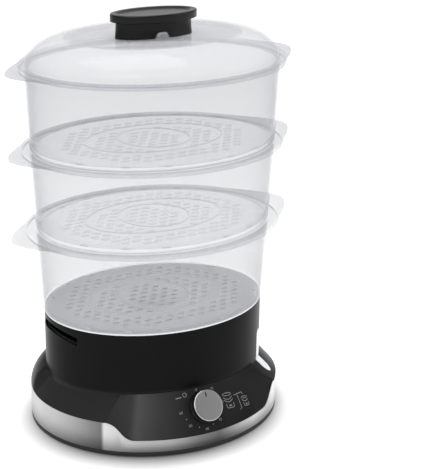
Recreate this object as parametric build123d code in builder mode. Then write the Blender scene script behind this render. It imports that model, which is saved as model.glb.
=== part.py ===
"""Electric food steamer: an oval base with a water tank and a clockwork timer, three
stacking bowls that grow towards the top, and a domed lid with a moulded handle.

Millimetres, +Z up. The front, with the dial, faces -Y. The origin is at the middle of the
footprint on the table. Every piece is drawn on level(z), whose middle is the body's own axis.
"""
import os
from math import asin, atan2, cos, degrees, hypot, pi, radians, sin, sqrt, tan

from build123d import *

# ---------------------------------------------------------------- driving dimensions
# the oval: the short half-axis of the body, tank, bowls and lid is this much shorter
oval_difference = 24.3
body_half_long = 118.0          # outer wall of the base
plinth_half_long = 133.8        # wide foot of the base
plinth_half_short = 118.2
plinth_shift = 1.7              # the plinth stands this much forward of the body

# heights above the table
cover_underside = 1.2
band_bottom = 5.4
band_top = 35.7
shoulder_front_top = 54.0
shoulder_back_top = 60.0
panel_bottom = 18.2
panel_top = 57.5
tank_underside = 57.7
rim_top = 122.3                 # where the lowest bowl stands

# base walls
housing_wall = 2.6
band_sheet = 0.8
band_gap = 0.2
cover_plate = 2.2
seat_gap = 0.2                  # between pieces that stand on each other
side_gap = 0.4                  # between a piece and the wall around it
tank_wall = 1.8
tank_floor = 2.2
tank_flange = 1.6
tank_flange_reach = 1.2         # how far the tank's flange lies on the wall's inner step
shoulder_power = 1.7            # fullness of the rear shoulder's curve
shoulder_split = 14.0           # the full shoulder starts this far behind the middle

# front panel
panel_wall = 2.2
panel_face_bottom = 71.0        # half-widths of its curved face
panel_face_top = 66.0
panel_corner_top = 77.0         # half-width where its side facets meet the body
panel_reach = 100.0             # half-width where they meet the band's top edge
panel_flat = 76.0               # half-width of the straight part of the band's cut-out
panel_gap = 0.15

# filling slots in both ends of the base
slot_middle = 111.5
slot_drop = 4.0
slot_height = 7.8
slot_half_width = 38.0
slot_start = 84.0               # they are cut this far out from the middle

# water gauge
gauge_angle = -37.0
gauge_width = 12.0
gauge_bottom = 41.0
gauge_top = 87.0
gauge_proud = 0.5
gauge_depth = 1.4
gauge_fit = 0.15

# heater
heater_hole = 38.0
heater_flange = 45.0
heater_sheet = 1.0
heater_raise = 4.2
gasket_thick = 1.2
clamp_thick = 1.8
clamp_reach = 56.0
clamp_screw_circle = 51.0
clamp_screws = 4
clamp_turn = 45.0
clamp_boss = 4.0
clamp_screw_radius = 1.4
clamp_screw_head = 2.8
clamp_screw_head_height = 1.4
clamp_screw_length = 5.4
element_ring = 26.0
element_radius = 3.2
element_sweep = 290.0
element_drop = 16.0
thermostat_radius = 8.0
thermostat_height = 7.0
fuse_radius = 2.0
fuse_length = 12.0
fuse_place = 14.0
heater_clear = 0.1

# timer and dial
dial_height = 40.0              # where the dial's axis meets the panel
dial_radius = 15.2
dial_body = 8.0
dial_lift = 1.0                 # from the panel's face to the dial's back
dial_wall = 2.0
dial_hub = 5.4
dial_web = 3.6
cap_radius = 15.9
cap_thick = 1.5
shaft_radius = 2.5
shaft_running = 0.05
shaft_flat = 0.8
shaft_inside = 14.0
timer_size = 37.0
timer_depth = 19.0
timer_bush = 4.2
timer_stand = 1.5               # room for the panel's curve
bush_fit = 0.2
bell_radius = 14.0
bell_depth = 5.0
bell_wall = 0.8
bell_gap = 0.6
bell_post = 3.0
timer_screw_spacing = 19.0
timer_screw_radius = 1.5
timer_screw_head = 2.8
timer_screw_head_height = 1.4
timer_screw_length = 6.0

# screws, posts and feet
post_radius = 4.0
post_inset = 7.0
post_top = 36.4
cover_screw_radius = 1.5
cover_screw_head = 3.2
cover_screw_head_height = 0.8
cover_screw_length = 18.0
screw_fit = 0.1
foot_radius = 7.0
foot_height = 2.3
foot_recess = 1.2
foot_inset = 22.0
foot_fit = 0.15
foot_chamfer = 0.6
post_angles = (25, 60, 120, 155, 205, 335)
foot_angles = (35, 145, 215, 325)
vent_slots = 9                  # in the bottom cover, under the heater
vent_slot_pitch = 9.0
vent_slot_length = 34.0
vent_slot_width = 3.0

# cord gland at the back
gland_height = 19.0
gland_radius = 8.0
gland_bore = 3.6
gland_proud = 4.0
gland_flange = 10.5
gland_inside = 9.0

# terminal block and wires
block_length = 30.0
block_width = 16.0
block_height = 12.0
block_back = 34.0               # from the plinth's rear edge
block_screw = 2.2
wire_radius = 1.2
wire_gap = 0.1                  # between a wire's end and its terminal
wire_drop = 12.0                # straight run at the timer's tags
wire_height = 8.0               # runs along the bottom cover
tag_side = 15.0
tag_drop = 14.0
thermostat_tag = 5.0

# steam ring that stands in the tank round the heater
ring_bottom = 54.0
ring_top = 47.0
ring_height = 34.0
ring_wall = 1.6
ring_notches = 6
ring_notch = 9.0
ring_rim = 5.0

# juice tray between tank and bowls
tray_depth = 14.0
tray_wall = 1.6
tray_flange = 1.4
tray_end = 97.0                 # flat ends, which leave room to pour in water
tray_chimney_long = 34.0
tray_chimney_short = 22.0
tray_chimney_rise = 9.0

# bowls: outer half-length at the bottom and the top of each wall, and the height of its rim
bowl_bottoms = (119.4, 124.0, 128.3)
bowl_tops = (123.9, 128.1, 131.3)
bowl_rims = (208.9, 291.3, 373.9)
flange_reaches = (135.1, 137.0, 138.0)
bowl_wall = 1.8
bowl_floor = 2.0
bowl_foot = 1.9                 # rib that drops into the rim below
bowl_foot_wall = 1.6
flange_thick = 1.8
flange_edge = 4.6               # depth of the flange's turned-down edge
flange_edge_wall = 1.4
ear_reach = 156.4
ear_radius = 60.0
floor_hole_length = 7.5
floor_hole_width = 4.0
floor_hole_pitch = 12.5
floor_row_pitch = 9.5
floor_border = 20.0             # plain border of the floor
centre_ring = 36.5              # raised rings on the floor
outer_ring = 74.0
floor_ring_wall = 1.6
floor_ring_height = 1.4
edge_slot_length = 8.0
edge_slot_width = 2.6
edge_slot_inset = 8.5
edge_slot_angles = (29, 53, 73, 107, 127, 151, 209, 233, 253, 287, 307, 331)

# lid
lid_flange_thick = 2.1
lid_flange_inset = 0.6          # its edge lies this much inside the bowl's flange
lid_wall = 1.8
lid_foot = 130.8                # the dome's foot, and its height above the lid's flange
lid_foot_rise = 0.9
lid_crest = 401.0
lid_crest_half_long = 95.5
lid_dish_half_long = 84.0
lid_dish_depth = 3.4
lid_power = 1.6
lid_spigot = 4.0
lid_spigot_wall = 1.5

# handle of the lid
handle_top = 421.8
cap_half_long = 46.4
cap_half_short = 25.8
cap_depth = 7.6
cap_round = 3.16
cap_dish = 1.6
cap_dish_rim = 5.0
cap_dish_slope = 4.0
neck_half_long = 41.9
neck_half_short = 19.2
neck_waist = 2.2                # the neck narrows by this much under the cap
neck_wall = 2.4
vent_half_width = 8.0
vent_height = 6.0
vent_holes = ((-12, 0), (0, 0), (12, 0))   # steam holes in the dish, under the handle
vent_hole_length = 8.0
vent_hole_width = 4.0
handle_screw_spacing = 56.0
handle_boss = 4.6
handle_screw_radius = 1.7
handle_screw_head = 3.4
handle_screw_head_height = 1.4
handle_screw_length = 12.0

# ---------------------------------------------------------------- derived places
body_half_short = body_half_long - oval_difference
plinth_front = -(plinth_half_short + plinth_shift)
plinth_back = plinth_half_short - plinth_shift


def front_of(half_long, half_short, x, shift=0.0):
    """y of an oval's front edge at x."""
    return -shift - half_short * sqrt(1 - (x / half_long) ** 2)


# the panel's slope in the middle plane
panel_run = -body_half_short - plinth_front
panel_rise = panel_top - panel_bottom
panel_slope = hypot(panel_run, panel_rise)
panel_normal = (0, -panel_rise / panel_slope, panel_run / panel_slope)
panel_down = (0, -panel_run / panel_slope, -panel_rise / panel_slope)
dial_foot_y = plinth_front + panel_run * (dial_height - panel_bottom) / panel_rise
dial_stack = dial_lift + dial_body + cap_thick

# the footprint is centred: the dial reaches furthest forward, the cord gland furthest back
dial_reach = -(dial_foot_y + dial_stack * panel_normal[1] + cap_radius * panel_down[1])
front_reach = max(dial_reach, -plinth_front)
rear_reach = plinth_back + gland_proud
body_y = (front_reach - rear_reach) / 2

cover_top = cover_underside + cover_plate
tray_top = rim_top - seat_gap
tray_rim = tray_top - tray_flange
housing_top = tray_rim - seat_gap / 2
tank_step = housing_top - tank_flange - seat_gap / 2
tank_half_long = body_half_long - housing_wall - side_gap
tank_inner = tank_half_long - tank_wall
tank_floor_top = tank_underside + tank_floor
gasket_top = tank_underside - heater_clear
heater_flange_top = gasket_top - gasket_thick - heater_clear
heater_underside = heater_flange_top - heater_sheet
clamp_top = heater_underside - heater_clear
plate_underside = heater_underside + heater_raise
ring_foot = tank_floor_top + seat_gap
tray_outer = tank_inner - side_gap
tray_floor = tray_rim - tray_depth


def level(z):
    """Horizontal work plane on the body's axis."""
    return Plane(origin=(0, body_y, z))


def on_plinth(angle, inset):
    """Place on the plinth's oval, moved inwards."""
    return ((plinth_half_long - inset) * cos(radians(angle)),
            (plinth_half_short - inset) * sin(radians(angle)) - plinth_shift)


def oval(half_long, mode=Mode.ADD):
    """The shared oval of body, bowls and lid."""
    Ellipse(half_long, half_long - oval_difference, mode=mode)


def plinth_oval(inset=0.0, mode=Mode.ADD):
    """The plinth's own oval, which stands forward of the body."""
    with Locations((0, -plinth_shift)):
        Ellipse(plinth_half_long - inset, plinth_half_short - inset, mode=mode)


def panel_plane(height=0.0):
    """Work plane on the dial's axis: local Z points out of the panel, local Y points up it."""
    base = Plane(origin=(0, body_y + dial_foot_y, dial_height), x_dir=(1, 0, 0), z_dir=panel_normal)
    return base.offset(height)


# ---------------------------------------------------------------- base: outer form
def rear_shoulder(inset):
    """Full, rounded shoulder of the rear half, as a solid down to the band's top."""
    steps = 6
    with BuildPart() as shoulder:
        for step in range(steps + 1):
            turn = pi / 2 * step / steps
            share = cos(turn) ** (2 / shoulder_power)
            rise = (shoulder_back_top - band_top - inset) * sin(turn) ** (2 / shoulder_power)
            half_long = body_half_long + (plinth_half_long - body_half_long) * share - inset
            half_short = body_half_short + (plinth_half_short - body_half_short) * share - inset
            with BuildSketch(level(band_top + rise)):
                with Locations((0, -plinth_shift * share)):
                    Ellipse(half_long, half_short)
        loft()
        split(bisect_by=Plane(origin=(0, body_y + shoulder_split + inset, 0), z_dir=(0, 1, 0)),
              keep=Keep.TOP)
    return shoulder.part


def outer_form(inset, skirt_inset, low, high):
    """Skirt, shoulder and wall of the base as one solid, moved inwards by inset."""
    with BuildPart() as form:
        with BuildSketch(level(low)):
            plinth_oval(skirt_inset)
        extrude(amount=band_top - low)
        with BuildSketch(level(band_top)):
            plinth_oval(inset)
        with BuildSketch(level(shoulder_front_top)):
            oval(body_half_long - inset)
        loft(ruled=True)
        with BuildSketch(level(shoulder_front_top)):
            oval(body_half_long - inset)
        extrude(amount=high - shoulder_front_top)
        add(rear_shoulder(inset))
    return form.part


def panel_region(gap=0.0):
    """Space in front of the body that the panel fills, widened by gap."""
    corner_y = front_of(body_half_long, body_half_short, panel_corner_top)
    reach_y = front_of(plinth_half_long, plinth_half_short, panel_reach, plinth_shift)
    turn = atan2(reach_y - corner_y, panel_corner_top - panel_reach)
    far = plinth_half_long
    far_y = corner_y - (far - panel_corner_top) * abs(sin(turn) / cos(turn))
    low = panel_bottom - gap
    flat, reach = panel_flat + gap, panel_reach + gap
    with BuildPart() as region:
        with BuildSketch(Plane(origin=(0, body_y + corner_y + gap, 0), x_dir=(1, 0, 0), z_dir=(0, -1, 0))):
            with BuildLine():
                left = Bezier((-reach, band_top), (-(reach + flat) / 2, band_top),
                              (-(reach + flat) / 2, low), (-flat, low))
                right = Bezier((flat, low), ((reach + flat) / 2, low),
                               ((reach + flat) / 2, band_top), (reach, band_top))
                Line(left @ 1, right @ 0)
                Line(right @ 1, left @ 0)
            make_face()
        extrude(amount=2 * plinth_half_short)
        with BuildSketch(level(band_top)):
            Polygon((-panel_corner_top - gap, corner_y + gap), (-far - gap, far_y + gap),
                    (-far - gap, 2 * plinth_front), (far + gap, 2 * plinth_front),
                    (far + gap, far_y + gap), (panel_corner_top + gap, corner_y + gap), align=None)
        extrude(amount=panel_top - band_top + gap)
    return region.part


def panel_block():
    """Solid behind the panel's outer skin: a curved face between two flat facets."""
    corner_y = front_of(body_half_long, body_half_short, panel_corner_top)
    reach_y = front_of(plinth_half_long, plinth_half_short, panel_reach, plinth_shift)
    stretch = panel_rise / (panel_top - band_top)
    foot_x = panel_corner_top + (panel_reach - panel_corner_top) * stretch
    foot_y = corner_y + (reach_y - corner_y) * stretch
    inner_y = corner_y + plinth_shift + panel_wall
    sections = ((panel_bottom, plinth_half_long, plinth_half_short, plinth_shift,
                 panel_face_bottom, foot_x, foot_y),
                (panel_top, body_half_long, body_half_short, 0.0,
                 panel_face_top, panel_corner_top, corner_y))
    with BuildPart() as block:
        for z, half_long, half_short, shift, face, corner_x, side_y in sections:
            turn = degrees(asin(face / half_long))
            with BuildSketch(level(z)):
                with BuildLine():
                    front = EllipticalCenterArc((0, -shift), half_long, half_short,
                                                270 - turn, arc_size=2 * turn)
                    Polyline(front @ 1, (corner_x, side_y), (corner_x, inner_y),
                             (-corner_x, inner_y), (-corner_x, side_y), front @ 0)
                make_face()
        loft(ruled=True)
    return block.part


def gauge_prism(grow):
    """Upright window through the wall where the water gauge sits."""
    x = body_half_long * cos(radians(gauge_angle))
    y = body_half_short * sin(radians(gauge_angle))
    outward = (cos(radians(gauge_angle)) / body_half_long, sin(radians(gauge_angle)) / body_half_short, 0)
    middle = (gauge_top + gauge_bottom) / 2
    side = Plane(origin=(x, body_y + y, middle), x_dir=(outward[1], -outward[0], 0), z_dir=outward)
    with BuildPart() as prism:
        with BuildSketch(side.offset(-2 * housing_wall - side_gap)):
            SlotOverall(gauge_top - gauge_bottom + 2 * grow, gauge_width + 2 * grow, rotation=90)
        extrude(amount=plinth_half_long - body_half_long + 4 * housing_wall)
    return prism.part


def filling_slots(grow=0.0):
    """Curved slots through both ends of the base, where water is added."""
    with BuildPart() as slots:
        for side in (-1, 1):
            end = Plane(origin=(side * slot_start, body_y, 0), x_dir=(0, side, 0), z_dir=(side, 0, 0))
            half = slot_height / 2 + grow
            wide = slot_half_width + grow
            with BuildSketch(end):
                with BuildLine():
                    top = ThreePointArc((-wide, slot_middle - slot_drop + half), (0, slot_middle + half),
                                        (wide, slot_middle - slot_drop + half))
                    bottom = ThreePointArc((-wide, slot_middle - slot_drop - half), (0, slot_middle - half),
                                           (wide, slot_middle - slot_drop - half))
                    Line(top @ 0, bottom @ 0)
                    Line(top @ 1, bottom @ 1)
                make_face()
            extrude(amount=body_half_long)
    return slots.part


# ---------------------------------------------------------------- base: casing
with BuildPart() as base_housing:
    skirt_inset = band_sheet + band_gap
    add(outer_form(0.0, skirt_inset, band_bottom, housing_top))
    add(outer_form(housing_wall, skirt_inset + housing_wall, 0.0, housing_top + housing_wall),
        mode=Mode.SUBTRACT)
    for angle in post_angles:
        with BuildSketch(level(cover_top + screw_fit)):
            with Locations(on_plinth(angle, post_inset)):
                Circle(post_radius)
                Circle(cover_screw_radius + screw_fit, mode=Mode.SUBTRACT)
        extrude(amount=post_top - cover_top)
    add(panel_region(panel_gap), mode=Mode.SUBTRACT)
    with BuildSketch(level(tank_step)):
        oval(body_half_long - housing_wall + tank_flange_reach + side_gap / 2)
    extrude(amount=housing_wall + tank_flange, mode=Mode.SUBTRACT)
    add(filling_slots(), mode=Mode.SUBTRACT)
    add(gauge_prism(gauge_fit), mode=Mode.SUBTRACT)
    with BuildSketch(Plane(origin=(0, body_y, gland_height), x_dir=(-1, 0, 0), z_dir=(0, 1, 0))):
        Circle(gland_radius + screw_fit)
    extrude(amount=2 * plinth_half_short, mode=Mode.SUBTRACT)

with BuildPart() as steel_band:
    with BuildSketch(level(band_bottom + seat_gap / 2)):
        plinth_oval()
        plinth_oval(band_sheet, mode=Mode.SUBTRACT)
    extrude(amount=band_top - band_bottom - seat_gap)
    add(panel_region(), mode=Mode.SUBTRACT)
    with BuildSketch(Plane(origin=(0, body_y, gland_height), x_dir=(-1, 0, 0), z_dir=(0, 1, 0))):
        Circle(gland_radius + screw_fit)
    extrude(amount=2 * plinth_half_short, mode=Mode.SUBTRACT)

with BuildPart() as control_panel:
    add(panel_block())
    add(panel_block().moved(Location((0, panel_wall * panel_slope / panel_rise, 0))), mode=Mode.SUBTRACT)
    add(panel_region(), mode=Mode.INTERSECT)
    with BuildSketch(level(panel_bottom)):
        plinth_oval()
    extrude(amount=panel_rise, mode=Mode.INTERSECT)
    with BuildSketch(panel_plane()):
        Circle(timer_bush + bush_fit)
        with GridLocations(timer_screw_spacing, 1, 2, 1):
            Circle(timer_screw_radius + screw_fit)
    extrude(amount=2 * panel_wall, both=True, mode=Mode.SUBTRACT)

with BuildPart() as bottom_cover:
    with BuildSketch(level(cover_underside)):
        plinth_oval()
    extrude(amount=cover_plate)
    with BuildSketch(level(cover_top)):
        plinth_oval()
        plinth_oval(housing_wall, mode=Mode.SUBTRACT)
    extrude(amount=band_bottom - cover_top - seat_gap / 2)
    with BuildSketch(level(cover_underside)):
        for angle in foot_angles:
            with Locations(on_plinth(angle, foot_inset)):
                Circle(foot_radius + foot_fit)
    extrude(amount=foot_recess, mode=Mode.SUBTRACT)
    with BuildSketch(level(cover_underside)):
        for angle in post_angles:
            with Locations(on_plinth(angle, post_inset)):
                Circle(cover_screw_radius + screw_fit)
        with GridLocations(vent_slot_pitch, 1, vent_slots, 1):
            SlotOverall(vent_slot_length, vent_slot_width, rotation=90)
    extrude(amount=cover_plate, mode=Mode.SUBTRACT)

with BuildPart() as rubber_feet:
    with BuildSketch(level(0)):
        for angle in foot_angles:
            with Locations(on_plinth(angle, foot_inset)):
                Circle(foot_radius)
    extrude(amount=foot_height)
    chamfer(rubber_feet.edges().group_by(Axis.Z)[0], foot_chamfer)

with BuildPart() as bottom_screws:
    with BuildSketch(level(cover_underside - seat_gap / 2)):
        for angle in post_angles:
            with Locations(on_plinth(angle, post_inset)):
                Circle(cover_screw_head)
    extrude(amount=-cover_screw_head_height)
    with BuildSketch(level(cover_underside - seat_gap / 2)):
        for angle in post_angles:
            with Locations(on_plinth(angle, post_inset)):
                Circle(cover_screw_radius)
    extrude(amount=cover_screw_length)


# ---------------------------------------------------------------- water tank and its gauge
with BuildPart() as water_tank:
    with BuildSketch(level(tank_underside)):
        oval(tank_half_long)
    extrude(amount=housing_top - tank_underside)
    with BuildSketch(level(tank_step + seat_gap / 2)):
        oval(body_half_long - housing_wall + tank_flange_reach)
    extrude(amount=tank_flange)
    with BuildSketch(level(tank_floor_top)):
        oval(tank_inner)
    extrude(amount=housing_top - tank_floor_top, mode=Mode.SUBTRACT)
    with BuildSketch(level(clamp_top + heater_clear)):
        with PolarLocations(clamp_screw_circle, clamp_screws, clamp_turn):
            Circle(clamp_boss)
    extrude(until=Until.NEXT)
    with BuildSketch(level(clamp_top)):
        with PolarLocations(clamp_screw_circle, clamp_screws, clamp_turn):
            Circle(clamp_screw_radius + screw_fit)
    extrude(amount=clamp_screw_length - clamp_thick + seat_gap, mode=Mode.SUBTRACT)
    with BuildSketch(level(tank_underside)):
        Circle(heater_hole)
    extrude(amount=tank_floor, mode=Mode.SUBTRACT)
    add(filling_slots(side_gap), mode=Mode.SUBTRACT)

with BuildPart() as level_gauge:
    add(outer_form(-gauge_proud, -gauge_proud, band_bottom, housing_top))
    add(outer_form(gauge_depth, gauge_depth, 0.0, housing_top + housing_wall), mode=Mode.SUBTRACT)
    add(gauge_prism(0.0), mode=Mode.INTERSECT)

# ---------------------------------------------------------------- heater
with BuildPart() as heater_plate:
    with BuildSketch(level(heater_underside)):
        Circle(heater_flange)
    extrude(amount=heater_sheet)
    with BuildSketch(level(heater_underside)):
        Circle(heater_hole - heater_sheet)
    extrude(amount=heater_raise + heater_sheet)
    with BuildSketch(level(heater_underside)):
        Circle(heater_hole - 2 * heater_sheet)
    extrude(amount=heater_raise, mode=Mode.SUBTRACT)

with BuildPart() as heater_gasket:
    with BuildSketch(level(gasket_top - gasket_thick)):
        Circle(heater_flange)
        Circle(heater_hole, mode=Mode.SUBTRACT)
    extrude(amount=gasket_thick)

with BuildPart() as clamp_ring:
    with BuildSketch(level(clamp_top - clamp_thick)):
        Circle(clamp_reach)
        Circle(heater_hole, mode=Mode.SUBTRACT)
        with PolarLocations(clamp_screw_circle, clamp_screws, clamp_turn):
            Circle(clamp_screw_radius + screw_fit, mode=Mode.SUBTRACT)
    extrude(amount=clamp_thick)

with BuildPart() as heater_screws:
    with BuildSketch(level(clamp_top - clamp_thick - heater_clear)):
        with PolarLocations(clamp_screw_circle, clamp_screws, clamp_turn):
            Circle(clamp_screw_head)
    extrude(amount=-clamp_screw_head_height)
    with BuildSketch(level(clamp_top - clamp_thick - heater_clear)):
        with PolarLocations(clamp_screw_circle, clamp_screws, clamp_turn):
            Circle(clamp_screw_radius)
    extrude(amount=clamp_screw_length)

element_level = plate_underside - heater_clear - element_radius
element_start = 90 + (360 - element_sweep) / 2
with BuildPart() as heating_element:
    with BuildLine(level(element_level)) as ring_path:
        CenterArc((0, 0), element_ring, element_start, element_sweep)
    with BuildSketch(Plane(origin=ring_path.line @ 0, z_dir=ring_path.line % 0)):
        Circle(element_radius)
    sweep(path=ring_path.line)
    with BuildSketch(level(element_level)):
        with PolarLocations(element_ring, 2, element_start, element_sweep, endpoint=True):
            Circle(element_radius)
    extrude(amount=-element_drop)

with BuildPart() as thermostat:
    with BuildSketch(level(plate_underside - heater_clear)):
        Circle(thermostat_radius)
    extrude(amount=-thermostat_height)

with BuildPart() as thermal_fuse:
    fuse_level = plate_underside - heater_clear - fuse_radius
    with BuildSketch(Plane(origin=(-fuse_length / 2, body_y - fuse_place, fuse_level), z_dir=(1, 0, 0))):
        Circle(fuse_radius)
    extrude(amount=fuse_length)

# ---------------------------------------------------------------- timer and dial
inner_face = -panel_wall - timer_stand

with BuildPart() as timer_case:
    with BuildSketch(panel_plane(inner_face)):
        RectangleRounded(timer_size, timer_size, timer_bush / 2)
    extrude(amount=-timer_depth)
    with BuildSketch(panel_plane(inner_face - timer_depth)):
        Circle(bell_post)
    extrude(amount=-bell_depth)
    with BuildSketch(panel_plane(inner_face)):
        Circle(timer_bush)
    extrude(amount=timer_stand + panel_wall + dial_lift / 2)
    with BuildSketch(panel_plane(dial_lift)):
        Circle(shaft_radius + shaft_running)
    extrude(amount=inner_face - dial_lift - shaft_inside - screw_fit, mode=Mode.SUBTRACT)
    with BuildSketch(panel_plane(inner_face)):
        with GridLocations(timer_screw_spacing, 1, 2, 1):
            Circle(timer_screw_radius + screw_fit)
    extrude(amount=-timer_screw_length, mode=Mode.SUBTRACT)

with BuildPart() as timer_bell:
    with BuildSketch(panel_plane(inner_face - timer_depth - bell_gap)):
        Circle(bell_radius)
    extrude(amount=-bell_depth)
    with BuildSketch(panel_plane(inner_face - timer_depth - bell_gap)):
        Circle(bell_radius - bell_wall)
    extrude(amount=bell_wall - bell_depth, mode=Mode.SUBTRACT)
    with BuildSketch(panel_plane(inner_face - timer_depth - bell_gap - bell_depth)):
        Circle(bell_post + screw_fit)
    extrude(amount=bell_depth, mode=Mode.SUBTRACT)

with BuildPart() as timer_screws:
    with BuildSketch(panel_plane(seat_gap / 2)):
        with GridLocations(timer_screw_spacing, 1, 2, 1):
            Circle(timer_screw_head)
    extrude(amount=timer_screw_head_height)
    with BuildSketch(panel_plane(seat_gap / 2)):
        with GridLocations(timer_screw_spacing, 1, 2, 1):
            Circle(timer_screw_radius)
    extrude(amount=inner_face - timer_screw_length + seat_gap)

shaft_top = dial_lift + dial_body - dial_web / 2
with BuildPart() as timer_shaft:
    with BuildSketch(panel_plane(inner_face - shaft_inside)):
        Circle(shaft_radius)
    extrude(amount=shaft_top - inner_face + shaft_inside)
    with BuildSketch(panel_plane(dial_lift)):
        with Locations((0, shaft_radius)):
            Rectangle(2 * shaft_radius, 2 * shaft_flat)
    extrude(amount=dial_body, mode=Mode.SUBTRACT)

with BuildPart() as dial_knob:
    with BuildSketch(panel_plane(dial_lift)):
        Circle(dial_radius)
    extrude(amount=dial_body)
    with BuildSketch(panel_plane(dial_lift)):
        Circle(dial_radius - dial_wall)
        Circle(dial_hub, mode=Mode.SUBTRACT)
    extrude(amount=dial_body - dial_web, mode=Mode.SUBTRACT)
    with BuildSketch(panel_plane(dial_lift)):
        Circle(shaft_radius + shaft_running)
        with Locations((0, shaft_radius + shaft_running)):
            Rectangle(2 * shaft_radius, 2 * shaft_flat, mode=Mode.SUBTRACT)
    extrude(amount=shaft_top - dial_lift + screw_fit, mode=Mode.SUBTRACT)

with BuildPart() as dial_face:
    with BuildSketch(panel_plane(dial_lift + dial_body)):
        Circle(cap_radius)
    extrude(amount=cap_thick)
    chamfer(dial_face.edges().group_by(Axis(origin=(0, 0, 0), direction=panel_normal))[-1], cap_thick / 2)

# ---------------------------------------------------------------- mains side
gland_back = Plane(origin=(0, body_y + plinth_back, gland_height), x_dir=(-1, 0, 0), z_dir=(0, 1, 0))
with BuildPart() as cord_gland:
    with BuildSketch(gland_back.offset(seat_gap / 2)):
        Circle(gland_flange)
    extrude(amount=gland_proud - seat_gap / 2)
    with BuildSketch(gland_back.offset(-gland_inside)):
        Circle(gland_radius)
    extrude(amount=gland_inside + gland_proud / 2)
    with BuildSketch(gland_back.offset(-gland_inside)):
        Circle(gland_bore)
    extrude(amount=gland_inside + gland_proud, mode=Mode.SUBTRACT)
    chamfer(cord_gland.faces().sort_by(Axis.Y)[-1].outer_wire().edges(), gland_proud / 4)

with BuildPart() as terminal_block:
    with BuildSketch(level(cover_top + seat_gap / 2)):
        with Locations((0, plinth_back - block_back)):
            Rectangle(block_length, block_width)
    extrude(amount=block_height)
    with BuildSketch(level(cover_top + seat_gap / 2 + block_height)):
        with Locations((0, plinth_back - block_back)):
            with GridLocations(block_length / 3, block_width / 2, 3, 2):
                Circle(block_screw)
    extrude(amount=-block_height / 2, mode=Mode.SUBTRACT)


def wire(points):
    """Round wire along straight runs joined by wide arcs."""
    radii = []
    for before, corner, after in zip(points, points[1:], points[2:]):
        arriving = Vector(corner) - Vector(before)
        leaving = Vector(after) - Vector(corner)
        half_turn = radians(arriving.get_angle(leaving)) / 2
        radii.append(0.45 * min(arriving.length, leaving.length) / tan(half_turn))
    print("wire radii", [round(radius, 1) for radius in radii])
    with BuildPart() as piece:
        with BuildLine() as route:
            FilletPolyline(*points, radius=radii)
        with BuildSketch(Plane(origin=route.line @ 0, z_dir=route.line % 0)):
            Circle(wire_radius)
        sweep(path=route.line)
    return piece


def timer_tag(side):
    """Point on the timer's back where a wire starts, and the point that it runs straight to."""
    back = inner_face - timer_depth - wire_gap
    start = panel_plane(back).from_local_coords(Vector(side * tag_side, -tag_drop, 0))
    bend = panel_plane(back - wire_drop).from_local_coords(Vector(side * tag_side, -tag_drop, 0))
    return start, bend


block_front = body_y + plinth_back - block_back - block_width / 2 - wire_gap
block_middle = cover_top + block_height / 2
pole = block_length / 3
thermostat_foot = plate_underside - heater_clear - thermostat_height - wire_gap
end_x = element_ring * cos(radians(element_start))
end_y = body_y + element_ring * sin(radians(element_start))
end_z = element_level - element_drop - wire_gap
fuse_y = body_y - fuse_place
fuse_end = fuse_length / 2 + wire_gap
left_tag, left_bend = timer_tag(-1)
right_tag, right_bend = timer_tag(1)

supply_wire = wire([
    (-pole, block_front, block_middle), (-pole, block_front - 16, block_middle),
    (-20, block_front - 40, wire_height), (-26, block_front - 76, wire_height + 1),
    (-23, block_front - 118, wire_height), left_bend, left_tag])
timer_wire = wire([
    right_tag, right_bend, (16, right_bend.Y + 37, wire_height + 3),
    (thermostat_tag, body_y, wire_height + 22), (thermostat_tag, body_y, thermostat_foot)])
thermostat_wire = wire([
    (-thermostat_tag, body_y, thermostat_foot), (-thermostat_tag, body_y, thermostat_foot - 9),
    (-14, fuse_y + 2, fuse_level - 12), (-14.5, fuse_y, fuse_level), (-fuse_end, fuse_y, fuse_level)])
fuse_wire = wire([
    (fuse_end, fuse_y, fuse_level), (14.5, fuse_y, fuse_level), (15.5, fuse_y + 4, fuse_level - 13),
    (15.5, fuse_y + 21, end_z - 12), (-end_x, end_y, end_z - 14), (-end_x, end_y, end_z)])
neutral_wire = wire([
    (end_x, end_y, end_z), (end_x, end_y, end_z - 13), (end_x / 2, end_y + 18, wire_height + 6),
    (0, block_front - 18, block_middle), (0, block_front, block_middle)])

# ---------------------------------------------------------------- loose pieces in the tank
with BuildPart() as steam_ring:
    with BuildSketch(level(ring_foot)):
        Circle(ring_bottom)
    with BuildSketch(level(ring_foot + ring_height)):
        Circle(ring_top)
    loft(ruled=True)
    with BuildSketch(level(ring_foot + ring_height)):
        Circle(ring_top + ring_rim)
    extrude(amount=-ring_wall)
    with BuildSketch(level(ring_foot)):
        Circle(ring_bottom - ring_wall)
    with BuildSketch(level(ring_foot + ring_height)):
        Circle(ring_top - ring_wall)
    loft(ruled=True, mode=Mode.SUBTRACT)
    with BuildSketch(level(ring_foot)):
        for turn in range(ring_notches):
            with Locations(Rotation(0, 0, 360 / ring_notches * turn)):
                Rectangle(2 * ring_bottom, ring_notch)
    extrude(amount=ring_notch / 2, mode=Mode.SUBTRACT)

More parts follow.
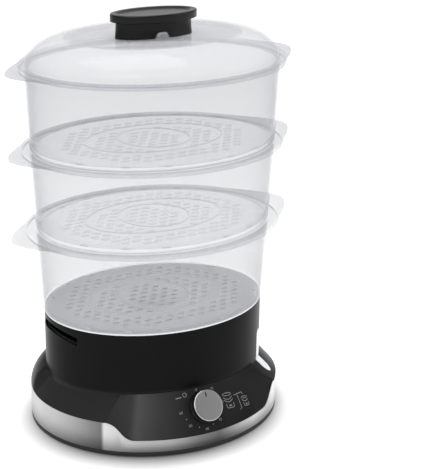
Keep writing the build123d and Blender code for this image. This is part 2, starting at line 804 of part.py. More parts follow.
with BuildPart() as drip_tray:
    with BuildSketch(level(tray_rim)):
        oval(body_half_long)
    extrude(amount=tray_flange)
    with BuildSketch(level(tray_floor)):
        oval(tray_outer)
        Rectangle(2 * tray_end, 2 * body_half_short, mode=Mode.INTERSECT)
    extrude(amount=tray_depth)
    with BuildSketch(level(tray_floor + tray_wall)):
        oval(tray_outer - tray_wall)
        Rectangle(2 * (tray_end - tray_wall), 2 * body_half_short, mode=Mode.INTERSECT)
    extrude(amount=tray_depth + tray_flange, mode=Mode.SUBTRACT)
    with BuildSketch(level(tray_floor)):
        Ellipse(tray_chimney_long, tray_chimney_short)
    extrude(amount=tray_chimney_rise)
    with BuildSketch(level(tray_floor)):
        Ellipse(tray_chimney_long - tray_wall, tray_chimney_short - tray_wall)
    extrude(amount=tray_chimney_rise, mode=Mode.SUBTRACT)


# ---------------------------------------------------------------- bowls
def flange_outline(reach, inset=0.0):
    """Outline of a bowl's flange with its two ears."""
    with BuildSketch() as outline:
        oval(reach - inset)
        for side in (-1, 1):
            with Locations((side * (ear_reach - ear_radius), 0)):
                Circle(ear_radius - inset)
    return outline.sketch


def floor_holes():
    """Oblong holes in staggered rows, clear of the raised rings and of the plain border."""
    columns = int(bowl_bottoms[0] / floor_hole_pitch) + 1
    rows = int(body_half_short / floor_row_pitch) + 1
    places = []
    for row in range(-rows, rows + 1):
        y = row * floor_row_pitch
        for column in range(-columns, columns + 1):
            x = (column + row % 2 / 2) * floor_hole_pitch
            limit = bowl_bottoms[0] - floor_border
            if hypot(x / limit, y / (limit - oval_difference)) > 1:
                continue
            centre_gap = abs(hypot(x, y) - centre_ring)
            outer_share = hypot(x / outer_ring, y / (outer_ring - oval_difference))
            outer_gap = abs(outer_share - 1) * hypot(x, y) / outer_share if outer_share else outer_ring
            if min(centre_gap, outer_gap) > floor_hole_length / 2 + floor_ring_wall:
                places.append((x, y))
    return places


def bowl(index, rest, rib_half_long, rib_half_width):
    """One bowl: a tapered wall, a pierced floor, a flange with ears, and a rib under the floor."""
    low, high, rim, reach = bowl_bottoms[index], bowl_tops[index], bowl_rims[index], flange_reaches[index]
    with BuildPart() as piece:
        with BuildSketch(level(rest)):
            oval(low)
        with BuildSketch(level(rim)):
            oval(high)
        loft(ruled=True)
        with BuildSketch(level(rim)):
            add(flange_outline(reach))
        extrude(amount=-flange_thick)
        with BuildSketch(level(rim)):
            add(flange_outline(reach))
            add(flange_outline(reach, flange_edge_wall), mode=Mode.SUBTRACT)
        extrude(amount=-flange_edge)
        with BuildSketch(level(rest + bowl_floor)):
            oval(low - bowl_wall)
        with BuildSketch(level(rim + seat_gap)):
            oval(high - bowl_wall)
        loft(ruled=True, mode=Mode.SUBTRACT)
        with BuildSketch(level(rest)):
            oval(rib_half_long)
            oval(rib_half_long - bowl_foot_wall, mode=Mode.SUBTRACT)
            Rectangle(2 * rib_half_width, 2 * rib_half_long, mode=Mode.INTERSECT)
        extrude(amount=-bowl_foot)
        with BuildSketch(level(rest + bowl_floor)):
            Circle(centre_ring + floor_ring_wall / 2)
            Circle(centre_ring - floor_ring_wall / 2, mode=Mode.SUBTRACT)
            oval(outer_ring + floor_ring_wall / 2)
            oval(outer_ring - floor_ring_wall / 2, mode=Mode.SUBTRACT)
        extrude(amount=floor_ring_height)
        with BuildSketch(level(rest)):
            with Locations(*floor_holes()):
                SlotOverall(floor_hole_length, floor_hole_width)
            for angle in edge_slot_angles:
                x = (low - edge_slot_inset) * cos(radians(angle))
                y = (low - edge_slot_inset - oval_difference) * sin(radians(angle))
                heading = degrees(atan2(y * (low - edge_slot_inset) ** 2,
                                        x * (low - edge_slot_inset - oval_difference) ** 2)) + 90
                with Locations(Location((x, y, 0), (0, 0, heading))):
                    SlotOverall(edge_slot_length, edge_slot_width)
        extrude(amount=bowl_floor, mode=Mode.SUBTRACT)
    return piece


rests = (rim_top, bowl_rims[0] + seat_gap, bowl_rims[1] + seat_gap)
rib_places = (tray_outer - tray_wall - side_gap, bowl_tops[0] - bowl_wall - side_gap,
              bowl_tops[1] - bowl_wall - side_gap)
rib_spans = (tray_end - tray_wall - side_gap, bowl_tops[0], bowl_tops[1])
bowl_1 = bowl(0, rests[0], rib_places[0], rib_spans[0])
bowl_2 = bowl(1, rests[1], rib_places[1], rib_spans[1])
bowl_3 = bowl(2, rests[2], rib_places[2], rib_spans[2])

# ---------------------------------------------------------------- lid and its handle
lid_rest = bowl_rims[2] + seat_gap
lid_dish = lid_crest - lid_dish_depth


def dome(inset):
    """Lid's dome from its foot up to the crest, with the sunken dish taken out."""
    steps = 7
    foot = lid_rest + lid_flange_thick + lid_foot_rise
    with BuildPart() as form:
        for step in range(steps + 1):
            turn = pi / 2 * step / steps
            share = cos(turn) ** (2 / lid_power)
            rise = (lid_crest - foot - inset) * sin(turn) ** (2 / lid_power)
            with BuildSketch(level(foot + rise)):
                oval(lid_crest_half_long + (lid_foot - lid_crest_half_long) * share - inset)
        loft()
        with BuildSketch(level(lid_rest)):
            oval(lid_foot - inset)
        extrude(amount=foot - lid_rest)
        with BuildSketch(level(lid_crest - inset)):
            oval(lid_crest_half_long - inset)
        with BuildSketch(level(lid_dish - inset)):
            oval(lid_dish_half_long - inset)
        loft(ruled=True, mode=Mode.SUBTRACT)
    return form.part


with BuildPart() as lid:
    add(dome(0.0))
    with BuildSketch(level(lid_rest)):
        oval(flange_reaches[2] - lid_flange_inset)
    extrude(amount=lid_flange_thick)
    with BuildSketch(level(lid_rest)):
        oval(bowl_tops[2] - bowl_wall - side_gap)
    extrude(amount=-lid_spigot)
    add(dome(lid_wall), mode=Mode.SUBTRACT)
    with BuildSketch(level(lid_rest - lid_spigot)):
        oval(bowl_tops[2] - bowl_wall - side_gap - lid_spigot_wall)
    extrude(amount=lid_spigot + lid_flange_thick, mode=Mode.SUBTRACT)
    with BuildSketch(level(lid_dish - lid_wall)):
        with GridLocations(handle_screw_spacing, 1, 2, 1):
            Circle(handle_screw_radius + screw_fit)
        with Locations(*vent_holes):
            SlotOverall(vent_hole_length, vent_hole_width)
    extrude(amount=lid_wall, mode=Mode.SUBTRACT)

neck_foot = lid_dish + seat_gap / 2
neck_top = handle_top - cap_depth - seat_gap / 2
with BuildPart() as handle_neck:
    with BuildSketch(level(neck_foot)):
        Ellipse(neck_half_long, neck_half_short)
    with BuildSketch(level(neck_top)):
        Ellipse(neck_half_long - neck_waist, neck_half_short - neck_waist)
    loft(ruled=True)
    with BuildSketch(level(neck_foot)):
        Ellipse(neck_half_long - neck_waist - neck_wall, neck_half_short - neck_waist - neck_wall)
    extrude(amount=neck_top - neck_foot - neck_wall, mode=Mode.SUBTRACT)
    with BuildSketch(level(neck_foot)):
        with GridLocations(handle_screw_spacing, 1, 2, 1):
            Circle(handle_boss)
    extrude(amount=neck_top - neck_foot - neck_wall)
    with BuildSketch(level(neck_foot)):
        with GridLocations(handle_screw_spacing, 1, 2, 1):
            Circle(handle_screw_radius + screw_fit)
    extrude(amount=handle_screw_length, mode=Mode.SUBTRACT)
    with BuildSketch(Plane(origin=(0, body_y, neck_foot), x_dir=(1, 0, 0), z_dir=(0, -1, 0))):
        Ellipse(vent_half_width, vent_height)
    extrude(amount=2 * neck_half_short, mode=Mode.SUBTRACT)

with BuildPart() as handle_cap:
    with BuildSketch(level(handle_top - cap_depth)):
        Ellipse(cap_half_long, cap_half_short)
    extrude(amount=cap_depth)
    fillet(handle_cap.edges(), min(cap_round, 0.42 * cap_depth))
    with BuildSketch(level(handle_top)):
        Ellipse(cap_half_long - cap_dish_rim, cap_half_short - cap_dish_rim)
    with BuildSketch(level(handle_top - cap_dish)):
        Ellipse(cap_half_long - cap_dish_rim - cap_dish_slope, cap_half_short - cap_dish_rim - cap_dish_slope)
    loft(ruled=True, mode=Mode.SUBTRACT)

with BuildPart() as handle_screws:
    with BuildSketch(level(lid_dish - lid_wall - seat_gap / 2)):
        with GridLocations(handle_screw_spacing, 1, 2, 1):
            Circle(handle_screw_head)
    extrude(amount=-handle_screw_head_height)
    with BuildSketch(level(lid_dish - lid_wall - seat_gap / 2)):
        with GridLocations(handle_screw_spacing, 1, 2, 1):
            Circle(handle_screw_radius)
    extrude(amount=lid_wall + handle_screw_length)

# ---------------------------------------------------------------- STEP files
print("front reach", front_reach, "rear reach", rear_reach, "body_y", body_y)
pieces = {
    "base_housing": base_housing, "steel_band": steel_band, "control_panel": control_panel,
    "bottom_cover": bottom_cover, "rubber_feet": rubber_feet, "bottom_screws": bottom_screws,
    "water_tank": water_tank, "level_gauge": level_gauge, "heater_plate": heater_plate,
    "heater_gasket": heater_gasket, "clamp_ring": clamp_ring, "heater_screws": heater_screws,
    "heating_element": heating_element, "thermostat": thermostat, "thermal_fuse": thermal_fuse,
    "timer_case": timer_case, "timer_bell": timer_bell, "timer_screws": timer_screws,
    "timer_shaft": timer_shaft, "dial_knob": dial_knob, "dial_face": dial_face,
    "cord_gland": cord_gland, "terminal_block": terminal_block, "supply_wire": supply_wire,
    "timer_wire": timer_wire, "thermostat_wire": thermostat_wire, "fuse_wire": fuse_wire,
    "neutral_wire": neutral_wire, "steam_ring": steam_ring, "drip_tray": drip_tray,
    "bowl_1": bowl_1, "bowl_2": bowl_2, "bowl_3": bowl_3, "lid": lid,
    "handle_neck": handle_neck, "handle_cap": handle_cap, "handle_screws": handle_screws,
}
os.makedirs("parts", exist_ok=True)
for name, piece in pieces.items():
    piece.part.label = name
    export_step(piece.part, f"parts/{name}.step")
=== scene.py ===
import math

import bmesh
import bpy
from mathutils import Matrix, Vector


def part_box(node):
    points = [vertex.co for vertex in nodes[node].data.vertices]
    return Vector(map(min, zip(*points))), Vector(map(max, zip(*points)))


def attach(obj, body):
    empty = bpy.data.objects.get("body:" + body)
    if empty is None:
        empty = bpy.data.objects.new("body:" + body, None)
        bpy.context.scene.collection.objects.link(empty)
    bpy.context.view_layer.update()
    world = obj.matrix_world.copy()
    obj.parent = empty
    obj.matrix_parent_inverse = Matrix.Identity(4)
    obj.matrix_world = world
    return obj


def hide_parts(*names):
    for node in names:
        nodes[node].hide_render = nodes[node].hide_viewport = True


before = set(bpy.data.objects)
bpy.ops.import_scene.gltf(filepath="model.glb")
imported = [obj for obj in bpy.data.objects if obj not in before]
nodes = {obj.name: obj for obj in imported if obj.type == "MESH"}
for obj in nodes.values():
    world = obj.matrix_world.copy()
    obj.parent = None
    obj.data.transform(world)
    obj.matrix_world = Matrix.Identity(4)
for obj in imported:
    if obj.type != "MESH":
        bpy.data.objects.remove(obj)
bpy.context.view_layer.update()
mm = 0.001

tankLow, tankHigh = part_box("water_tank")
bodyY = (tankLow.y + tankHigh.y) / 2 / mm      # the body's own axis, in mm
ovalDifference = 24.3                          # every oval above the foot is this much shorter across
ovals = {"foot": (133.8, 118.2), "forward": 1.7, "drum": (118.0, 93.7), "flare": (15.8, 24.5),
         "bowlFloor": (124.0, 99.7)}           # half lengths and half widths, and how far forward the foot stands

# camera

view = {"target": (0.0, bodyY, 190.8), "distance": 1370.8, "azimuth": -28.75, "elevation": 19.38,
        "lens": 102.04, "shift": 0.1413}

turn, lift = math.radians(view["azimuth"]), math.radians(view["elevation"])
towards = Vector((math.sin(turn) * math.cos(lift), -math.cos(turn) * math.cos(lift), math.sin(lift)))
bpy.ops.object.select_all(action="DESELECT")
bpy.ops.object.camera_add(location=(Vector(view["target"]) + towards * view["distance"]) * mm,
                          rotation=towards.to_track_quat("Z", "Y").to_euler())
camera = bpy.context.object
camera.data.lens = view["lens"]
camera.data.shift_x = view["shift"]
camera.data.clip_start = 0.01
bpy.context.scene.camera = camera
print("camera ready")


# the ways of working

def work(piece):
    if bpy.context.object and bpy.context.object.mode != "OBJECT":
        bpy.ops.object.mode_set(mode="OBJECT")
    bpy.ops.object.select_all(action="DESELECT")
    if piece:
        piece.select_set(True)
        bpy.context.view_layer.objects.active = piece


def applyPlace(piece):
    work(piece)
    bpy.ops.object.transform_apply(location=True, rotation=True, scale=True)
    return piece


def modify(piece, kind, **settings):
    work(piece)
    change = piece.modifiers.new(kind.lower(), kind)
    for key, value in settings.items():
        setattr(change, key, value)
    bpy.ops.object.modifier_apply(modifier=change.name)
    return piece


def combine(piece, other, how="DIFFERENCE"):
    modify(piece, "BOOLEAN", object=other, operation=how, solver="EXACT")
    bpy.data.objects.remove(other)
    return piece


def cleanUp(piece, merge=0.001):
    work(piece)
    bpy.ops.object.mode_set(mode="EDIT")
    bpy.ops.mesh.select_all(action="SELECT")
    bpy.ops.mesh.remove_doubles(threshold=merge * mm)
    bpy.ops.mesh.normals_make_consistent(inside=False)
    bpy.ops.object.mode_set(mode="OBJECT")
    return piece


def roundEdges(piece, width, segments=2, angle=32):
    modify(piece, "BEVEL", width=width * mm, segments=segments, limit_method="ANGLE",
           angle_limit=math.radians(angle), use_clamp_overlap=False, miter_outer="MITER_ARC")
    return piece


def smooth(piece, angle=33):
    work(piece)
    bpy.ops.object.shade_smooth_by_angle(angle=math.radians(angle))
    return piece


def pick(piece, kind, test):           # in edit mode: selects what passes the test
    bpy.ops.mesh.select_mode(type=kind)
    bpy.ops.mesh.select_all(action="DESELECT")
    shape = bmesh.from_edit_mesh(piece.data)
    parts = {"VERT": shape.verts, "EDGE": shape.edges, "FACE": shape.faces}[kind]
    for part in parts:
        if test(part):
            part.select_set(True)
    shape.select_flush_mode()
    bmesh.update_edit_mesh(piece.data)


def bodyRing(halfLong, height):
    return halfLong, halfLong - ovalDifference, height, 0.0


def plinthRing(inset, height):
    return ovals["foot"][0] - inset, ovals["foot"][1] - inset, height, ovals["forward"]


def drawRings(name, rings, corners=160, closed=False):       # ring: half length, half width, height, how far forward
    rings = rings + rings[:1] if closed else rings
    half, across, height, forward = rings[0]
    middle = (0, (bodyY - forward) * mm, height * mm)
    work(None)
    bpy.ops.mesh.primitive_circle_add(vertices=corners, radius=mm, location=middle,
                                      fill_type="NOTHING" if closed else "NGON")
    piece = bpy.context.object
    piece.name = piece.data.name = name
    bpy.ops.object.mode_set(mode="EDIT")
    bpy.ops.mesh.select_mode(type="VERT")
    bpy.ops.mesh.select_all(action="SELECT")
    bpy.ops.transform.resize(value=(half, across, 1), center_override=middle)
    for here, there in zip(rings, rings[1:]):
        bpy.ops.mesh.extrude_region_move()
        bpy.ops.transform.resize(value=(there[0] / here[0], there[1] / here[1], 1),
                                 center_override=(0, (bodyY - here[3]) * mm, here[2] * mm))
        bpy.ops.transform.translate(value=(0, (here[3] - there[3]) * mm, (there[2] - here[2]) * mm))
    bpy.ops.object.mode_set(mode="OBJECT")
    return cleanUp(applyPlace(piece))


def soften(outline, steps=4):          # outline: half length, height, corner radius
    drawn = []
    for place, (out, up, radius) in enumerate(outline):
        here = Vector((out, up))
        before = Vector(outline[place - 1][:2]) - here
        after = Vector(outline[(place + 1) % len(outline)][:2]) - here
        if not radius:
            drawn.append(here)
            continue
        reach = min(radius / math.tan(before.angle(after) / 2), 0.48 * before.length, 0.48 * after.length)
        start, end = here + before.normalized() * reach, here + after.normalized() * reach
        for step in range(steps + 1):
            share = step / steps
            drawn.append(start * (1 - share) ** 2 + here * 2 * share * (1 - share) + end * share ** 2)
    return drawn


def drawLoops(name, loops, depth=None):          # closed lines; with a depth filled, and an inner loop is a hole
    work(None)
    bpy.ops.curve.primitive_bezier_curve_add()
    sheet = bpy.context.object
    sheet.name = name
    if depth is not None:
        sheet.data.dimensions = "2D"
        sheet.data.fill_mode = "BOTH"
        sheet.data.extrude = depth * mm
    sheet.data.splines.clear()
    for loop in loops:
        line = sheet.data.splines.new("POLY")
        line.points.add(len(loop) - 1)
        for point, spot in zip(line.points, loop):
            x, y, z = (*spot, 0)[:3]
            point.co = (x * mm, y * mm, z * mm, 1)
        line.use_cyclic_u = True
    bpy.ops.object.convert(target="MESH")
    sheet = bpy.context.object
    sheet.data.name = name
    return sheet


def drawPlate(name, outline, depth, place=(0, 0, 0), turned=(0, 0, 0)):     # a flat outline, made thick both ways
    plate = drawLoops(name, [outline], depth)
    plate.location = Vector(place) * mm
    plate.rotation_euler = turned
    return cleanUp(applyPlace(plate))


def bridgeOutlines(name, lower, upper):          # two outlines of as many points, each with its height
    loops = [drawLoops(name, [[(x, y + bodyY, height) for x, y in outline]]) for outline, height in (lower, upper)]
    work(loops[0])
    loops[1].select_set(True)
    bpy.ops.object.join()
    piece = bpy.context.object
    piece.name = piece.data.name = name
    bpy.ops.object.mode_set(mode="EDIT")
    bpy.ops.mesh.select_mode(type="EDGE")
    bpy.ops.mesh.select_all(action="SELECT")
    bpy.ops.mesh.bridge_edge_loops()
    for height in (lower[1], upper[1]):
        pick(piece, "EDGE", lambda edge: all(abs(corner.co.z - height * mm) < 1e-6 for corner in edge.verts))
        bpy.ops.mesh.edge_face_add()
    bpy.ops.object.mode_set(mode="OBJECT")
    return cleanUp(applyPlace(piece))


def oblong(name, length, width, low, high, corners=16):     # upright prism with round ends
    work(None)
    bpy.ops.mesh.primitive_cylinder_add(vertices=corners, radius=width / 2 * mm, depth=(high - low) * mm,
                                        location=(0, 0, (low + high) / 2 * mm),
                                        rotation=(0, 0, math.pi / corners))
    piece = applyPlace(bpy.context.object)
    piece.name = piece.data.name = name
    bpy.ops.object.mode_set(mode="EDIT")
    for side in (-1, 1):
        pick(piece, "VERT", lambda corner: corner.co.x * side > 0)
        bpy.ops.transform.translate(value=(side * (length - width) / 2 * mm, 0, 0))
    bpy.ops.object.mode_set(mode="OBJECT")
    return piece


def copyTo(piece, places):             # a copy at each (x, y, turn), joined into one mesh
    copies = []
    for x, y, heading in places:
        twin = piece.copy()
        twin.data = piece.data.copy()
        bpy.context.collection.objects.link(twin)
        twin.location = (x * mm, y * mm, 0)
        twin.rotation_euler = (0, 0, heading)
        copies.append(twin)
    bpy.data.objects.remove(piece)
    work(copies[0])
    for twin in copies:
        twin.select_set(True)
    bpy.ops.object.join()
    return applyPlace(bpy.context.object)


def hand(piece, body, slot, finish, *replaced):
    piece.data.materials.clear()
    piece.data.materials.append(finishes[finish])
    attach(piece, body)
    if replaced:
        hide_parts(*replaced)
    return piece


# finishes

class Value:
    def __init__(self, bench, socket):
        self.bench, self.socket = bench, socket

    def __add__(self, other):
        return self.bench.sum("ADD", self, other)

    def __sub__(self, other):
        return self.bench.sum("SUBTRACT", self, other)

    def __rsub__(self, other):
        return self.bench.sum("SUBTRACT", other, self)

    def __mul__(self, other):
        return self.bench.sum("MULTIPLY", self, other)

    def __pow__(self, other):
        return self.bench.sum("POWER", self, other)

    __radd__, __rmul__ = __add__, __mul__


class Bench:
    def __init__(self, name):
        self.material = bpy.data.materials.new(name)
        self.material.use_nodes = True
        self.tree = self.material.node_tree
        self.shader = self.tree.nodes["Principled BSDF"]
        self.place = self.node("ShaderNodeTexCoord", out="Object")

    def node(self, kind, settings=None, feeds=None, out=0):
        made = self.tree.nodes.new(kind)
        for key, value in (settings or {}).items():
            if key == "stops":
                ramp = made.color_ramp
                ramp.elements[0].position, ramp.elements[-1].position = value[0][0], value[-1][0]
                for spot, shade in value[1:-1]:
                    ramp.elements.new(spot)
                for stop, (spot, shade) in zip(ramp.elements, value):
                    stop.color = (shade, shade, shade, 1)
            else:
                setattr(made, key, value)
        for key, value in (feeds or {}).items():
            if isinstance(value, Value):
                self.tree.links.new(value.socket, made.inputs[key])
            else:
                made.inputs[key].default_value = value
        return Value(self, made.outputs[out])

    def sum(self, how, first, second):
        return self.node("ShaderNodeMath", {"operation": how}, {0: first, 1: second})

    def noise(self, scale, detail=2.0, stretch=(1, 1, 1)):
        spot = self.node("ShaderNodeMapping", feeds={"Vector": self.place, "Scale": stretch})
        return self.node("ShaderNodeTexNoise", feeds={"Vector": spot, "Scale": scale, "Detail": detail})

    def blend(self, factor, *colours):
        first, second = (colour if isinstance(colour, Value) else (*colour, 1) for colour in colours)
        return self.node("ShaderNodeMix", {"data_type": "RGBA"}, {0: factor, 6: first, 7: second}, out=2)

    def bump(self, height, strength, distance=0.0002):
        return self.node("ShaderNodeBump", feeds={"Height": height, "Strength": strength, "Distance": distance})

    def edge(self, blend=0.5):         # 0 where seen straight on, 1 at the outline
        return self.node("ShaderNodeLayerWeight", feeds={"Blend": blend}, out="Facing")

    def axes(self, vector):            # its x, y and z
        split = self.tree.nodes.new("ShaderNodeSeparateXYZ")
        self.tree.links.new(vector.socket, split.inputs[0])
        return [Value(self, socket) for socket in split.outputs]

    def ovalPlace(self, halfLong, halfShort, forward=0.0, left=0.0):     # how far out to an oval, and how far round
        middle = self.node("ShaderNodeMapping", feeds={"Vector": self.place,
                                                       "Location": (left * mm, (forward - bodyY) * mm, 0)})
        x, y = (part * (1 / (half * mm)) for part, half in zip(self.axes(middle), (halfLong, halfShort)))
        out = (x * x + y * y) ** 0.5
        return out, self.sum("ARCTAN2", y, x) * (0.5 / math.pi) + 0.5

    def step(self, value, start, end):               # 0 before start, 1 past end
        return self.node("ShaderNodeMapRange", {"interpolation_type": "SMOOTHSTEP"},
                         {"Value": value, "From Min": start, "From Max": end, "To Min": 0.0, "To Max": 1.0})

    def ramp(self, value, stops):
        return self.node("ShaderNodeValToRGB", {"stops": stops}, {"Fac": value})

    def dress(self, sockets):
        for key, value in sockets.items():
            if isinstance(value, Value):
                self.tree.links.new(value.socket, self.shader.inputs[key])
            else:
                self.shader.inputs[key].default_value = value
        return self.material


def glossPlastic(name, values):
    bench = Bench(name)
    cloud = bench.noise(14)
    peel = bench.noise(420, 1.0)
    # sheen: reflection bands painted into the colour by the way round the body; without it, only the random cloud
    sheen = bench.ramp(bench.ovalPlace(118, 94)[1], values["sheen"]) if "sheen" in values else cloud
    if "footLight" in values:          # painted light: the foot is painted lighter than the wall above it, as if it caught more light
        sheen = sheen + (1 - bench.step(bench.axes(bench.place)[2], 0.056, 0.061)) * values["footLight"]
    return bench.dress({"Base Color": bench.blend(sheen * 0.8 + cloud * 0.2, values["low"], values["high"]),
                        "Specular IOR Level": values.get("specular", 0.5),
                        "Roughness": values["rough"] + cloud * values["roughSpread"],
                        "IOR": values["ior"],
                        "Normal": bench.bump(peel, values["peel"])})


def mattePlastic(name, low, high, rough, grain):
    bench = Bench(name)
    cloud = bench.noise(60)
    return bench.dress({"Base Color": bench.blend(cloud, low, high),
                        "Roughness": rough + cloud * 0.12,
                        "Normal": bench.bump(bench.noise(2600, 2.0), grain)})


def brushedMetal(name, low, high, rough, depth, along=(1, 1, 1), paintedReflections=()):
    bench = Bench(name)
    lines = bench.noise(900, 3.0, along)
    cloud = bench.noise(25)
    shade = lines * 0.5 + cloud * 0.5
    if paintedReflections:                        # painted reflections: light and dark bands painted round the foot's oval
        shade = bench.ramp(bench.ovalPlace(*ovals["foot"])[1], paintedReflections) * 0.94 + lines * 0.06
    return bench.dress({"Base Color": bench.blend(shade, low, high),
                        "Metallic": 1.0,
                        "Roughness": rough + lines * 0.12 + cloud * 0.05,
                        "Normal": bench.bump(lines, depth)})


def clearPlastic(name, values):
    bench = Bench(name)
    cloud = bench.noise(8)
    rim = bench.edge(values["blend"]) ** values["sharp"]
    level = bench.axes(bench.node("ShaderNodeTexCoord", out="Normal"))[2]
    inner = 1 - bench.step(bench.ovalPlace(*values["floor"])[0], 0.99, 1.01)
    flat = level * level * (values["flatDense"] - inner * (values["flatDense"] + values["floorThin"]))
    upright = (1 - level * level) * values["outline"]    # a wall seen on edge is denser
    alpha = (rim * values["rimAlpha"] + values["alpha"]) * (flat + 1) + bench.edge() ** 7 * upright
    tint = bench.blend(cloud, values["low"], values["high"])
    if "dish" in values:               # the lid's sunk middle is seen through more of the sheet; the lowest bowl is painted lighter there, over the shaded tray
        inner = 1 - bench.step(bench.ovalPlace(*values["dish"])[0], 0.955, 0.985)
        alpha = alpha + inner * values["dishAlpha"]
        tint = bench.blend(inner, tint, values["dishTint"])
    return bench.dress({"Base Color": tint,
                        "Roughness": 0.04 + cloud * 0.06,
                        "Alpha": alpha,
                        "Normal": bench.bump(bench.noise(90, 1.0), 0.05)})


# each sheen ramp paints reflection bands into the colour round the body; footLight paints the foot lighter, as painted
# light
gloss = {
    "glossBlack": {"low": (0.003, 0.003, 0.0033), "high": (0.022, 0.022, 0.0225), "rough": 0.27, "roughSpread": 0.08,
                   "ior": 1.21, "peel": 0.03, "specular": 0.18, "footLight": 0.92,
                   "sheen": ((0.0, 0.15), (0.07, 0.18), (0.12, 0.15), (0.16, 0.12), (0.24, 0.02), (0.36, 0.0),
                             (0.41, 0.10), (0.45, 0.20), (0.5, 0.15), (0.7, 0.05), (0.88, 0.2), (1.0, 0.15))},
    "panelBlack": {"low": (0.002, 0.002, 0.0023), "high": (0.070, 0.070, 0.072), "rough": 0.27, "roughSpread": 0.08,
                   "ior": 1.21, "peel": 0.04, "specular": 0.22,
                   "sheen": ((0.0, 0.1), (0.125, 0.20), (0.155, 0.38), (0.163, 0.95), (0.19, 0.52), (0.23, 0.16),
                             (0.28, 0.03), (0.36, 0.03), (0.385, 0.2), (1.0, 0.1))},
    "knobBlack": {"low": (0.004, 0.004, 0.0045), "high": (0.010, 0.010, 0.011), "rough": 0.22, "roughSpread": 0.10,
                  "ior": 1.24, "peel": 0.05},
    "handleBlack": {"low": (0.002, 0.002, 0.0023), "high": (0.005, 0.005, 0.0055), "rough": 0.17,
                    "roughSpread": 0.06, "ior": 1.30, "peel": 0.04}}
matte = {                              # darkest and lightest colour, roughness, depth of the grain
    "blackPlastic": ((0.010, 0.010, 0.011), (0.018, 0.018, 0.020), 0.48, 0.20),
    "rubber": ((0.020, 0.020, 0.020), (0.036, 0.036, 0.035), 0.70, 0.35),
    "tankGrey": ((0.012, 0.012, 0.013), (0.022, 0.022, 0.024), 0.34, 0.05),
    "timerGrey": ((0.36, 0.36, 0.36), (0.46, 0.46, 0.45), 0.45, 0.15),
    "greyPlastic": ((0.40, 0.41, 0.43), (0.48, 0.49, 0.51), 0.42, 0.15),
    "wireBrown": ((0.13, 0.05, 0.02), (0.18, 0.07, 0.03), 0.40, 0.10),
    "wireBlue": ((0.02, 0.07, 0.32), (0.03, 0.10, 0.40), 0.40, 0.10),
    "wireWhite": ((0.72, 0.72, 0.70), (0.80, 0.80, 0.78), 0.45, 0.20),
    "printGrey": ((0.16, 0.16, 0.165), (0.24, 0.24, 0.245), 0.50, 0.05),
    "gaugeClear": ((0.80, 0.82, 0.84), (0.90, 0.91, 0.92), 0.12, 0.02)}
metal = {                              # darkest and lightest colour, roughness, depth of the lines, their stretch, painted reflection bands round the foot
    "brushedSteel": ((0.02, 0.02, 0.021), (0.84, 0.84, 0.845), 0.24, 0.03, (0.02, 0.02, 3.0),
                     ((0.0, 0.60), (0.045, 0.48), (0.075, 0.34), (0.10, 0.19), (0.1145, 0.13), (0.1160, 0.68),
                      (0.135, 0.58), (0.16, 0.44), (0.20, 0.36), (0.235, 0.16), (0.262, 0.10), (0.29, 0.36),
                      (0.32, 0.62), (0.35, 0.50), (0.38, 0.84), (0.45, 0.60), (0.60, 0.40), (0.75, 0.70),
                      (0.86, 0.36), (1.0, 0.60))),
    "spunSilver": ((0.18, 0.18, 0.183), (0.27, 0.27, 0.274), 0.34, 0.05),
    "rimSilver": ((0.36, 0.36, 0.365), (0.46, 0.46, 0.465), 0.26, 0.02),
    "stainless": ((0.56, 0.56, 0.56), (0.70, 0.70, 0.70), 0.26, 0.05, (1, 0.05, 1)),
    "zincSteel": ((0.50, 0.50, 0.48), (0.64, 0.64, 0.61), 0.34, 0.10),
    "elementSteel": ((0.24, 0.23, 0.22), (0.42, 0.40, 0.38), 0.45, 0.10),
    "bellChrome": ((0.66, 0.66, 0.66), (0.76, 0.76, 0.76), 0.08, 0.01)}
bowlLook = {"low": (0.29, 0.295, 0.335), "high": (0.32, 0.325, 0.365), "alpha": 0.170, "rimAlpha": 0.50,
            "blend": 0.35, "sharp": 3.0, "floorThin": 0.60, "floor": ovals["bowlFloor"], "flatDense": 0.30,
            "outline": 0.36}
clear = {
    "bowlClear": bowlLook,
    "lowBowlClear": {**bowlLook, "dish": (119.0, 94.7), "dishAlpha": 0.42,       # painted light: lighter and denser where the floor lies over the shaded tray
                     "dishTint": (0.93, 0.935, 0.95)},
    "lidClear": {"low": (0.46, 0.465, 0.50), "high": (0.52, 0.525, 0.56), "alpha": 0.175, "rimAlpha": 0.28,
                 "blend": 0.35, "sharp": 3.5, "floorThin": 0.0, "floor": ovals["bowlFloor"], "flatDense": 0.0,
                 "outline": 0.12, "dish": (95.5, 71.2), "dishAlpha": 0.22, "dishTint": (0.42, 0.425, 0.45)},
    "trayClear": {"low": (0.90, 0.905, 0.92), "high": (0.93, 0.935, 0.95), "alpha": 0.95, "rimAlpha": 0.04,
                  "blend": 0.4, "sharp": 1.5, "floorThin": 0.0, "floor": ovals["bowlFloor"], "flatDense": 0.0,
                  "outline": 0.0}}
finishes = {name: glossPlastic(name, values) for name, values in gloss.items()}
finishes.update((name, mattePlastic(name, *values)) for name, values in matte.items())
finishes.update((name, brushedMetal(name, *values)) for name, values in metal.items())
finishes.update((name, clearPlastic(name, values)) for name, values in clear.items())
print("finishes ready")

# base: housing, steel band and front panel

